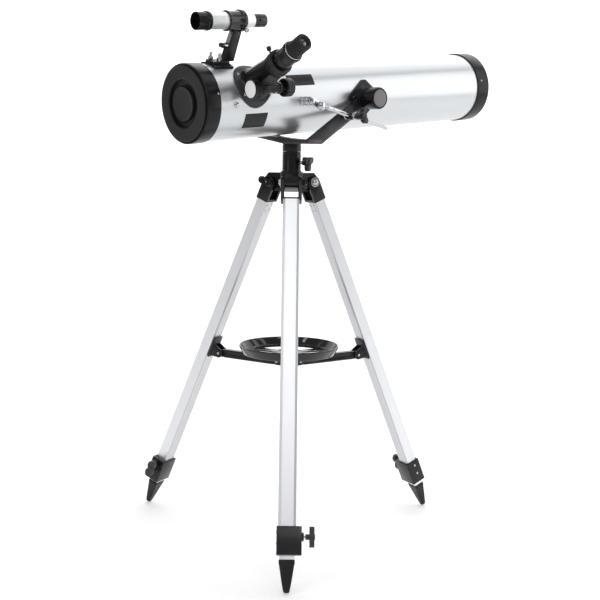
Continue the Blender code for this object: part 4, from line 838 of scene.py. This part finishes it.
def leg(number, base):
    body = f"leg_{number}"

    def add(name, mesh, material, where=Matrix.Identity(4), rides=body, replaces=(), smooth=38):
        stands_for = tuple(f"leg_{number}_{r}" for r in replaces)
        return piece(f"leg_{number}_{name}", mesh, material, base @ where, rides, stands_for, smooth)

    outer, low, web = LUG_W / 2 + CHEEK, -0.0352, -0.0332
    inner_x, outer_x = -0.013, 0.0104
    side = arc(0, 0, outer_x, 0, 150, 24) + [(inner_x, 0.004), (inner_x, low), (outer_x, low)]
    blank = moved(prism(side, -outer, outer), BACK_Y)
    slot = box((0.06, LUG_W, 0.06), (0, 0, web + 0.003 + 0.03))
    socket = box((0.04, LEG_W + 2 * GAP, 0.02), (0.02 - LEG_D / 2 - GAP, 0, web - 0.01))
    hole = moved(cylinder(0.0033, -0.03, 0.03, 28), ALONG_Y)
    bracket = joined(blank, minus(slot), minus(socket), minus(hole))
    add("bracket_moulding", eased(bracket, 0.0009, 3), "black_satin", replaces=("bracket",))

    grip = outer + GAP
    add("bolt_washer", lathe([(0.0031, grip), (0.0085, grip), (0.0085, grip + 0.0008),
        (0.0031, grip + 0.0008)], 64, closed=True, ease=0.0002), "chrome_steel", BACK_Y, "tripod",
        ("wing_bolt",))
    add("bolt_head", moved(pan_screw(0.0056, 0.0034, 1), T((0, 0, grip + 0.0008))), "chrome_steel", BACK_Y,
        "tripod")
    add("bolt_shank", lathe([(0, -grip - 0.001), (0.003, -grip - 0.001), (0.003, grip + 0.006),
        (0, grip + 0.006)], 32, ease=0.0004), "chrome_steel", ALONG_Y, "tripod")
    wings = prism(lobes(0.0145, 0.0052, 2), grip + 0.0046, grip + 0.009)
    nut = joined(cylinder(0.006, grip, grip + 0.0052, 40), plus(wings),
        minus(cylinder(0.0031, grip - 0.01, grip + 0.02, 24)))
    add("wing_nut", eased(nut, 0.0009, 3), "black_plastic", ALONG_Y, "tripod")

    top, end = web - GAP, CLAMP_BOTTOM + 0.008
    shell = prism(extrusion(), end, top)
    inside = prism(section(LEG_D / 2 - LEG_WALL, LEG_W / 2 - LEG_WALL, 0.0006), end - 0.005, top + 0.005)
    tube = add("outer_tube", joined(shell, minus(inside)), "anodised", replaces=("outer",), smooth=30)
    # The back face and the sloping strips beside the front take the darker copy: painted shade on the faces
    # the light reaches less.
    tube.data.materials.append(MATERIALS["anodised_strip"])
    for face in tube.data.polygons:
        x, y, _ = face.center
        if abs(face.normal.x) > 0.5 and face.normal.x * x > 0 and (x < 0 or abs(y) > 0.0101):
            face.material_index = 1
    rivets = ((-0.0055, 0.0055), (0.0055, 0.0075), (-0.0055, 0.0155), (0.0055, 0.0175))
    for rivet, (y, drop) in enumerate(rivets):
        head = [(0, 0.0007), (0.0012, 0.0006), (0.0018, 0.0003), (0.002, 0), (0.002, -0.0004), (0, -0.0004)]
        add(f"strap_rivet_{rivet}", lathe(head, 32), "chrome_steel", T((-LEG_D / 2, y, low - drop)) @ BACK_X)

    foot_top = -LEG_LENGTH + FOOT_LEN
    shell = prism(section(INNER_D / 2, INNER_W / 2, 0.0014), foot_top + GAP, INNER_TOP)
    inside = prism(section(INNER_D / 2 - LEG_WALL, INNER_W / 2 - LEG_WALL, 0.0006), foot_top - 0.005,
        INNER_TOP + 0.005)
    add("inner_tube", joined(shell, minus(inside)), "anodised", rides=f"{body}_extension",
        replaces=("inner",), smooth=30)

    def build(work):
        """The foot: box sections from its collar, narrowing to the tip."""
        rings = []
        for z, f in (
                (foot_top, 0.05), (foot_top - 0.0006, 0.0), (foot_top - 0.0058, 0.0),
                (foot_top - 0.0066, 0.06), (-LEG_LENGTH + 0.02, 0.58), (-LEG_LENGTH + 0.0065, 0.9),
                (-LEG_LENGTH + 0.0035, 1.02), (-LEG_LENGTH + 0.0022, 1.25)):
            hx = (INNER_D + 0.001) / 2 * (1 - f) + 0.0042 * f
            hy = (INNER_W + 0.001) / 2 * (1 - f) + 0.0048 * f
            corner = min(hx, hy) * (0.16 + 0.5 * min(1, f))
            rings.append([work.verts.new((x, y, z)) for x, y in section(hx, hy, corner, 6)])
        for above, below in zip(rings, rings[1:]):
            for i in range(len(above)):
                j = (i + 1) % len(above)
                work.faces.new((above[i], above[j], below[j], below[i]))
        work.faces.new(rings[0])
        work.faces.new(rings[-1])
    ground = moved(box((0.2, 0.2, 0.05), (0, 0, -0.025)), T((0, 0, -LEG_LENGTH)) @ R(LEG_TILT, 4, "Y"))
    add("foot_moulding", joined(mesh_from(build), minus(ground)), "rubber_black", rides=f"{body}_extension",
        replaces=("foot",), smooth=40)

    wide, deep = LEG_W + 0.005, LEG_D + 0.006
    middle = CLAMP_BOTTOM + CLAMP_LEN / 2
    block = box((deep, wide + 0.0065, CLAMP_LEN), (0, 0.00325, middle))
    boss = moved(cylinder(0.007, wide / 2, wide / 2 + 0.01, 40), T((0, 0, middle + 0.0065)) @ ALONG_Y)
    bore_out = box((LEG_D + 2 * GAP, LEG_W + 2 * GAP, CLAMP_LEN), (0, 0, middle + 0.0077))
    bore_in = box((INNER_D + 0.0008, INNER_W + 0.0008, CLAMP_LEN), (0, 0, middle - 0.02))
    thread = moved(cylinder(0.0026, LEG_W / 2 - 0.001, wide, 20), T((0, 0, middle + 0.0065)) @ ALONG_Y)
    clamp = joined(block, plus(boss), minus(bore_out), minus(bore_in), minus(thread))
    add("clamp_moulding", eased(clamp, 0.0011, 3), "black_satin", replaces=("clamp",))
    for rivet, z in enumerate((middle + 0.013, middle - 0.004)):
        head = [(0, 0.001), (0.0016, 0.0008), (0.0022, 0.0004), (0.0024, 0), (0.0024, -0.0004), (0, -0.0004)]
        add(f"clamp_rivet_{rivet}", lathe(head, 32), "chrome_steel", T((0.002, -wide / 2, z)) @ BACK_Y)
    spot = T((0, wide / 2 + 0.0125, middle + 0.0065)) @ ALONG_Y @ R(pi / 2, 4, "Z")
    add("clamp_wing", wing_head(0.0045, 0.0062, 0.0165, 0.008, 0.0058, 2), "black_plastic", spot,
        f"{body}_lock", ("clamp_knob",))
    add("clamp_stud", lathe([(0, 0.001), (0.0023, 0.001), (0.0023, -0.01), (0, -0.01)], 28, ease=0.0004),
        "chrome_steel", spot, f"{body}_lock")

    px, pz = leg_place(BRACE_R1, BRACE_Z1)
    face, thick, high = -LEG_D / 2 - GAP, 0.003, 0.04
    pad = box((thick, LEG_W - 0.003, high), (face - thick / 2, 0, pz + 0.004))
    reach = (BRACE_W + 0.0078) / 2
    ears = moved(prism(arc(px, pz, 0.0085, 90, 270, 20)
        + [(face - 0.001, pz - 0.0125), (face - 0.001, pz + 0.0125)], -reach, reach), BACK_Y)
    slot = box((0.06, BRACE_W + 0.001, 0.06), (face - thick - 0.03, 0, pz))
    add("brace_clip", eased(joined(pad, plus(ears), minus(slot)), 0.0008, 3), "black_satin",
        replaces=("brace_bracket",))
    for name, turn in (("a", BACK_Y), ("b", ALONG_Y)):
        add(f"clip_pin_{name}", moved(pan_screw(0.0026, 0.0016), T((0, 0, reach))), "chrome_steel",
            T((px, 0, pz)) @ turn)


def brace(number, azimuth):
    base = COLUMN @ T((BRACE_R0 * cos(azimuth), BRACE_R0 * sin(azimuth), BRACE_Z0)) @ R(azimuth, 4, "Z")
    run, rise = BRACE_R1 - BRACE_R0, BRACE_Z1 - BRACE_Z0
    length, half = hypot(run, rise), BRACE_H / 2
    outline = arc(0, 0, 0.006, 90, 270, 20) + [(0.012, -half), (length - 0.012, -half)]
    outline += arc(length, 0, 0.0064, -90, 90, 20) + [(length - 0.012, half), (0.012, half)]
    bar = moved(prism(outline, -BRACE_W / 2, BRACE_W / 2), BACK_Y)
    channel = box((length - 0.034, BRACE_W - 0.0036, BRACE_H), (length / 2, 0, -0.0022))
    pin_hole = moved(cylinder(0.0018, -0.02, 0.02, 20), ALONG_Y)
    steps = [minus(channel), minus(pin_hole)]
    for sign in (-1, 1):
        steps.append(minus(box((length - 0.04, 0.0012, BRACE_H - 0.006),
            (length / 2, sign * BRACE_W / 2, 0))))
    made = eased(joined(bar, *steps), 0.0005, 2)
    piece(f"brace_{number}_bar", made, "black_satin", base @ R(-atan2(rise, run), 4, "Y"),
        f"brace_{number}_arm", (f"brace_{number}",))


def spreader():
    ear_w = 0.0034
    steps = []
    for azimuth in LEG_AZIMUTHS:
        turn = R(azimuth, 4, "Z")
        for sign in (-1, 1):
            ear = prism(arc(BRACE_R0, BRACE_Z0, 0.0065, -90, 90, 16)
                + [(0.002, BRACE_Z0 + 0.0065), (0.002, BRACE_Z0 - 0.0065)], -ear_w / 2, ear_w / 2)
            steps.append(plus(moved(ear, turn @ T((0, sign * (BRACE_W / 2 + 0.0004 + ear_w / 2), 0))
                @ BACK_Y)))
    for azimuth in LEG_AZIMUTHS:
        slot = box((0.03, BRACE_W + 0.0008, 0.04), (BRACE_R0 - 0.0068 + 0.015, 0, BRACE_Z0))
        steps.append(minus(moved(slot, R(azimuth, 4, "Z"))))
    hub = joined(cylinder(0.0125, BRACE_Z0 - 0.0065, TRAY_TOP - TRAY_WALL_H - GAP, 64), *steps)
    piece("hub_moulding", eased(hub, 0.0006, 2), "black_satin", COLUMN, "spreader", ("spreader_hub",))
    for number, azimuth in enumerate(LEG_AZIMUTHS, 1):
        reach = BRACE_W / 2 + 0.0004 + ear_w
        for name, turn in (("a", BACK_Y), ("b", ALONG_Y)):
            spot = COLUMN @ R(azimuth, 4, "Z") @ T((BRACE_R0, 0, BRACE_Z0)) @ turn
            piece(f"hub_pin_{number}_{name}", moved(pan_screw(0.0024, 0.0014), T((0, 0, reach))),
                "chrome_steel", spot, "spreader")
        piece(f"hub_axle_{number}", lathe([(0, -reach), (0.0016, -reach), (0.0016, reach), (0, reach)], 28,
            ease=0.0003), "chrome_steel", COLUMN @ R(azimuth, 4, "Z") @ T((BRACE_R0, 0, BRACE_Z0)) @ ALONG_Y,
            "spreader")

    floor, low_r = TRAY_TOP - TRAY_WALL_H, 0.082
    profile = rounded([(0, floor), (low_r, floor), (TRAY_R, TRAY_TOP - 0.0028), (TRAY_R, TRAY_TOP),
        (TRAY_R - 0.0024, TRAY_TOP), (TRAY_R - 0.003, TRAY_TOP - 0.0024), (low_r - 0.0016, floor + 0.0025),
        (0, floor + 0.0025)], 0.0012, closed=False)
    steps = []
    for azimuth in LEG_AZIMUTHS:
        for way in (-1, 1):
            centre = degrees(azimuth) + way * 30
            window = arc(0, 0, 0.069, centre - 20, centre + 20, 16) + arc(0, 0, 0.03, centre + 14,
                centre - 14, 8)
            steps.append(minus(prism(rounded(window, 0.002), floor - 0.01, floor + 0.01)))
    piece("tray_moulding", eased(joined(lathe(profile, 192), *steps), 0.0005, 2, 50), "gloss_black", COLUMN,
        "spreader", ("accessory_tray",))
    piece("tray_knob", lathe([(0, floor + 0.0025), (0.012, floor + 0.0025), (0.012, floor + 0.0058),
        (0.0108, floor + 0.007), (0.004, floor + 0.007), (0.0036, floor + 0.0064), (0, floor + 0.0064)], 180,
        ripple=(30, 0.0005, floor + 0.0032, floor + 0.0054), ease=0.0006), "black_plastic", COLUMN,
        "spreader", smooth=50)


tripod_head()
yoke()
rod_and_clamp()
altitude_knobs()
tube_shell()
end_pieces()
trunnions()
rod_anchor()
focuser()
finder()
for number, azimuth in enumerate(LEG_AZIMUTHS, 1):
    leg(number, LEGS[number - 1])
    brace(number, azimuth)
spreader()
for name, material in (("primary_mirror", "mirror_glass"), ("mirror_support", "black_metal"),
                       ("secondary_spider", "black_metal")):
    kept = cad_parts[name]
    kept.data.materials.clear()
    kept.data.materials.append(MATERIALS[material])

# ---------------------------------------------------------------- studio
sweep_r, reach, wide = 1.2, 1.6, 6.0
heading, pitch, roll = radians(48.997), radians(7.653), radians(0.941)
ahead = Vector((cos(heading), sin(heading), 0))
track = [(-4.0, 0.0), (reach, 0.0)] + [(reach + sweep_r * sin(radians(a)), sweep_r * (1 - cos(radians(a))))
    for a in range(6, 91, 6)] + [(reach + sweep_r, 5.0)]


def cyclorama(work):
    across = Vector((sin(heading), -cos(heading), 0))
    rows = [[work.verts.new(ahead * d + across * side * wide + Vector((0, 0, z))) for side in (-1, 1)]
        for d, z in track]
    for a, b in zip(rows, rows[1:]):
        work.faces.new((a[0], a[1], b[1], b[0]))


def studio_white():
    """A white sweep that glows a little, more up the backdrop than on the floor."""
    made = finish("studio_white", (0.92, 0.92, 0.92), 0.75, spread=0.05, tone=0.01, grain=60, bump=0.02,
        depth=0.0002, patch=3)
    tree = made.node_tree
    height = node(tree, "ShaderNodeSeparateXYZ",
        {"Vector": node(tree, "ShaderNodeTexCoord").outputs["Object"]})
    feed(tree, tree.nodes["Principled BSDF"],
        {"Emission Strength": ranged(tree, height.outputs["Z"], 0.22, 0.7), "Emission Color": (1, 1, 1, 1)})
    return made


floor = linked("studio_floor", mesh_from(cyclorama))
floor.data.shade_smooth()
floor.data.materials.append(studio_white())

eye = Vector((AXIS_X - 1.3335, AXIS_Y - 1.5623, 0.6997))
forward = Vector((cos(heading) * cos(pitch), sin(heading) * cos(pitch), -sin(pitch)))
right = Vector((sin(heading), -cos(heading), 0))
up = right.cross(forward)
right, up = right * cos(roll) + up * sin(roll), up * cos(roll) - right * sin(roll)
camera = bpy.data.objects.new("camera", bpy.data.cameras.new("camera"))
camera.data.lens, camera.data.sensor_width = 69.79, 36
camera.matrix_world = Matrix(((right.x, up.x, -forward.x, eye.x), (right.y, up.y, -forward.y, eye.y),
    (right.z, up.z, -forward.z, eye.z), (0, 0, 0, 1)))
bpy.context.scene.collection.objects.link(camera)
bpy.context.scene.camera = camera


def softbox(name, centre, size, power, target=(-0.05, 0, 0.6)):
    light = bpy.data.lights.new(name, "AREA")
    light.shape, light.size, light.size_y, light.energy = "RECTANGLE", size[0], size[1], power
    made = bpy.data.objects.new(name, light)
    made.location = centre
    made.rotation_euler = (Vector(target) - Vector(centre)).to_track_quat("-Z", "Y").to_euler()
    bpy.context.scene.collection.objects.link(made)


softbox("window", (1.93, -1.74, 1.55), (1.6, 2.5), 21, (0, 0, 1.2))
softbox("overhead", (1.2, 0.4, 2.9), (3.0, 3.0), 29, (1.0, 0.3, 0))
softbox("behind_camera", (-1.85, -2.05, 2.5), (2.0, 1.6), 12, (-0.2, -0.1, 0.5))
softbox("strip_left", (-2.6, -0.2, 1.7), (0.28, 1.8), 9)
softbox("strip_front", (-0.9, -2.9, 2.2), (0.5, 0.9), 8)

world = bpy.data.worlds.new("studio")
world.use_nodes = True
bpy.context.scene.world = world
background = world.node_tree.nodes["Background"]
background.inputs["Color"].default_value = (1, 1, 1, 1)
background.inputs["Strength"].default_value = 0.35
bpy.context.scene.view_settings.view_transform = "Standard"
